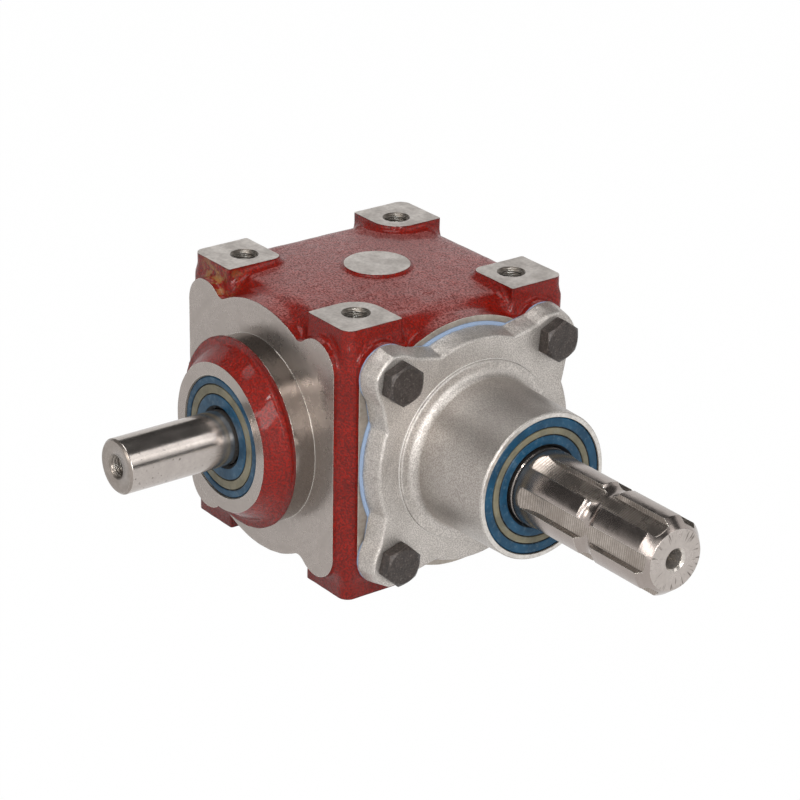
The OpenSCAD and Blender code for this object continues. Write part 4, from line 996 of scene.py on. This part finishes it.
bar = [(17, 18.0)] + stepped([
    (18, 18.98), (19.2, 18.1), (20.85, 18.98), (45.5, 19.98), (63.5, 23), (93.1, 17.48),
    (107.1, 16.6), (108.75, 17.48)], 119.7) + [(120.1, 17.2), (121.0, 17.2), (121.4, outer_r)]
bar += [(input_end - groove_from_end + offset, groove_out - math.sqrt(groove_r ** 2 - offset ** 2))
        for offset in np.linspace(-groove_half, groove_half, 17)]
bar += eased([
    (input_end - 30, outer_r, 0), (input_end - 5, outer_r, 0.3), (input_end, chamfer_r, 0.25),
    (input_end, hole_r + 1, 0.1), (input_end - 1, hole_r, 0.1), (input_end - 17, hole_r, 0),
    (input_end - 18.4, 0.05, 0)], 4)
input_shaft = turned("splined_shaft", bar, on_input, [spline_steel], 240)


def spline_gap(k):
    """The cutter path between two splines: parallel flanks, round bottom, curved run-out."""
    root_r, half_w, runout, top_a, corner_round = 14.825, 4.32, 14.6, 21.0, 0.5
    start = input_end - full_depth
    cos, sin = math.cos(math.radians(30)), math.sin(math.radians(30))
    foot_a = math.sqrt(root_r ** 2 - half_w ** 2)
    corner = (foot_a * cos + half_w * sin, foot_a * sin - half_w * cos)
    points = []
    for station in list(np.linspace(start - runout, start, 34)) + [input_end + 3]:
        back = max(0.0, start - station)
        lift = root_r + cutter_r - math.sqrt(cutter_r ** 2 - back ** 2)
        corner_a = max(corner[0], lift)
        corner_b, top_b = (corner[1] + (a - corner[0]) * sin / cos for a in (corner_a, top_a))
        bottom = [(max(math.sqrt(root_r ** 2 - min(abs(b), 14) ** 2), lift), b, 0)
                  for b in np.linspace(-corner_b, corner_b, 9)[1:-1]]
        loop = eased([(top_a, -top_b, 0), (corner_a, -corner_b, corner_round)] + bottom +
                     [(corner_a, corner_b, corner_round), (top_a, top_b, 0)], 4)
        points += [(a, b, station) for a, b in loop]
    count = len(loop)
    turn = math.radians(60 * k - 6)
    cos, sin = math.cos(turn), math.sin(turn)
    spin = np.array([[cos, -sin, 0], [sin, cos, 0], [0, 0, 1]])
    points = np.array(points) @ spin.T @ on_input.T
    faces = [tuple(range(count)), tuple(reversed(range(len(points) - count, len(points))))]
    for a in range(0, len(points) - count, count):
        b = a + count
        faces += [(a + n, b + n, b + (n + 1) % count, a + (n + 1) % count) for n in range(count)]
    return piece_of("spline_gap", points, faces, [hobbed_steel])


tools = [spline_gap(k) for k in range(6)]
tools.append(slab("crown_key_slot", on_input, 21.98, 44.52, spline_steel, half=5.02, lift=18.98))
machine(input_shaft, tools)
end_number = len(input_shaft.data.materials)
input_shaft.data.materials.append(end_steel)
input_shaft.data.materials.append(hole_steel)
finish_where(input_shaft, end_number, lambda x, y, z: x > input_end - 0.05)
finish_where(input_shaft, end_number + 1,
             lambda x, y, z: x > input_end - 19 and math.hypot(y, z) < 5.25)
smooth(input_shaft, 25)
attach(input_shaft, "input_shaft")
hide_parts("input_shaft")


# Tail cap and oil plugs: a pressed black cap closes the tail bearing; three steel
# plugs with a round collar sit on soft copper washers on the plain side.
tail_cap = turned("tail_cap", eased([
    (58.2, 20.2, 0), (58.0, 21.0, 0.2), (62.2, 21.0, 0.7), (63.0, 20.0, 0.5), (63.0, 17.2, 0.6),
    (62.2, 16.4, 0.6), (62.2, 0.05, 0)], 4), on_tail, [black_rubber], 128)
smooth(tail_cap, 40)
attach(tail_cap, "housing")
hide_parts("rear_end_cap")

plug_seat = 63.0
plug_rows = [(52, 7.6), (52.6, 8.2)] + [(plug_seat + up, radius) for up, radius in (
    (1.5, 8.2), (1.5, 12.2), (1.9, 12.5), (3.1, 12.5), (3.5, 12.2))]
plug_rows += hex_head(plug_seat + 3.5, 22, 4.9)
for name, lift in (("oil_filler_plug", 36), ("oil_level_plug", 0), ("oil_drain_plug", -36)):
    plug = turned("hex_" + name, plug_rows, on_plain, [black_bolt], hex_segments, at=(0, lift))
    smooth(plug, 25)
    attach(plug, "housing")
    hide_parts(name)

copper = bare_metal("soft_copper", rgb(190, 120, 84), rgb(150, 88, 60), on_plain, 1500.0, 0.00004,
                    (0.35, 0.5))
give_finish(["plug_washers"], copper)


# Inner works: gears, ball bearings, circlips, shims, key and garter springs. They lie
# behind the cover and the seals and show when the gearbox is opened or cut.
gear_steel = bare_metal("gear_steel", rgb(150, 146, 142), rgb(116, 110, 104), on_input, 1800.0,
                        0.00004)
bearing_steel = bare_metal("bearing_steel", rgb(200, 198, 196), rgb(176, 172, 168), on_input,
                           3000.0, 0.00002, (0.14, 0.22))
cage_steel = bare_metal("cage_brass", rgb(186, 156, 96), rgb(150, 122, 70), on_input, 1600.0,
                        0.00004)
spring_steel = bare_metal("spring_steel", rgb(92, 88, 84), rgb(66, 62, 60), on_input, 1600.0,
                          0.00004)
give_finish(["crown_gear", "crown_key", "crown_shims"], gear_steel)
for bearing in ("gear_bearing", "snout_bearing", "pinion_bearing", "tail_bearing"):
    give_finish([bearing + part for part in ("_outer", "_inner", "_balls")], bearing_steel)
    give_finish([bearing + "_cage"], cage_steel)
for shaft in ("input", "output"):
    give_finish([shaft + part for part in ("_bore_circlips", "_shaft_circlips", "_seal_spring")],
                spring_steel)
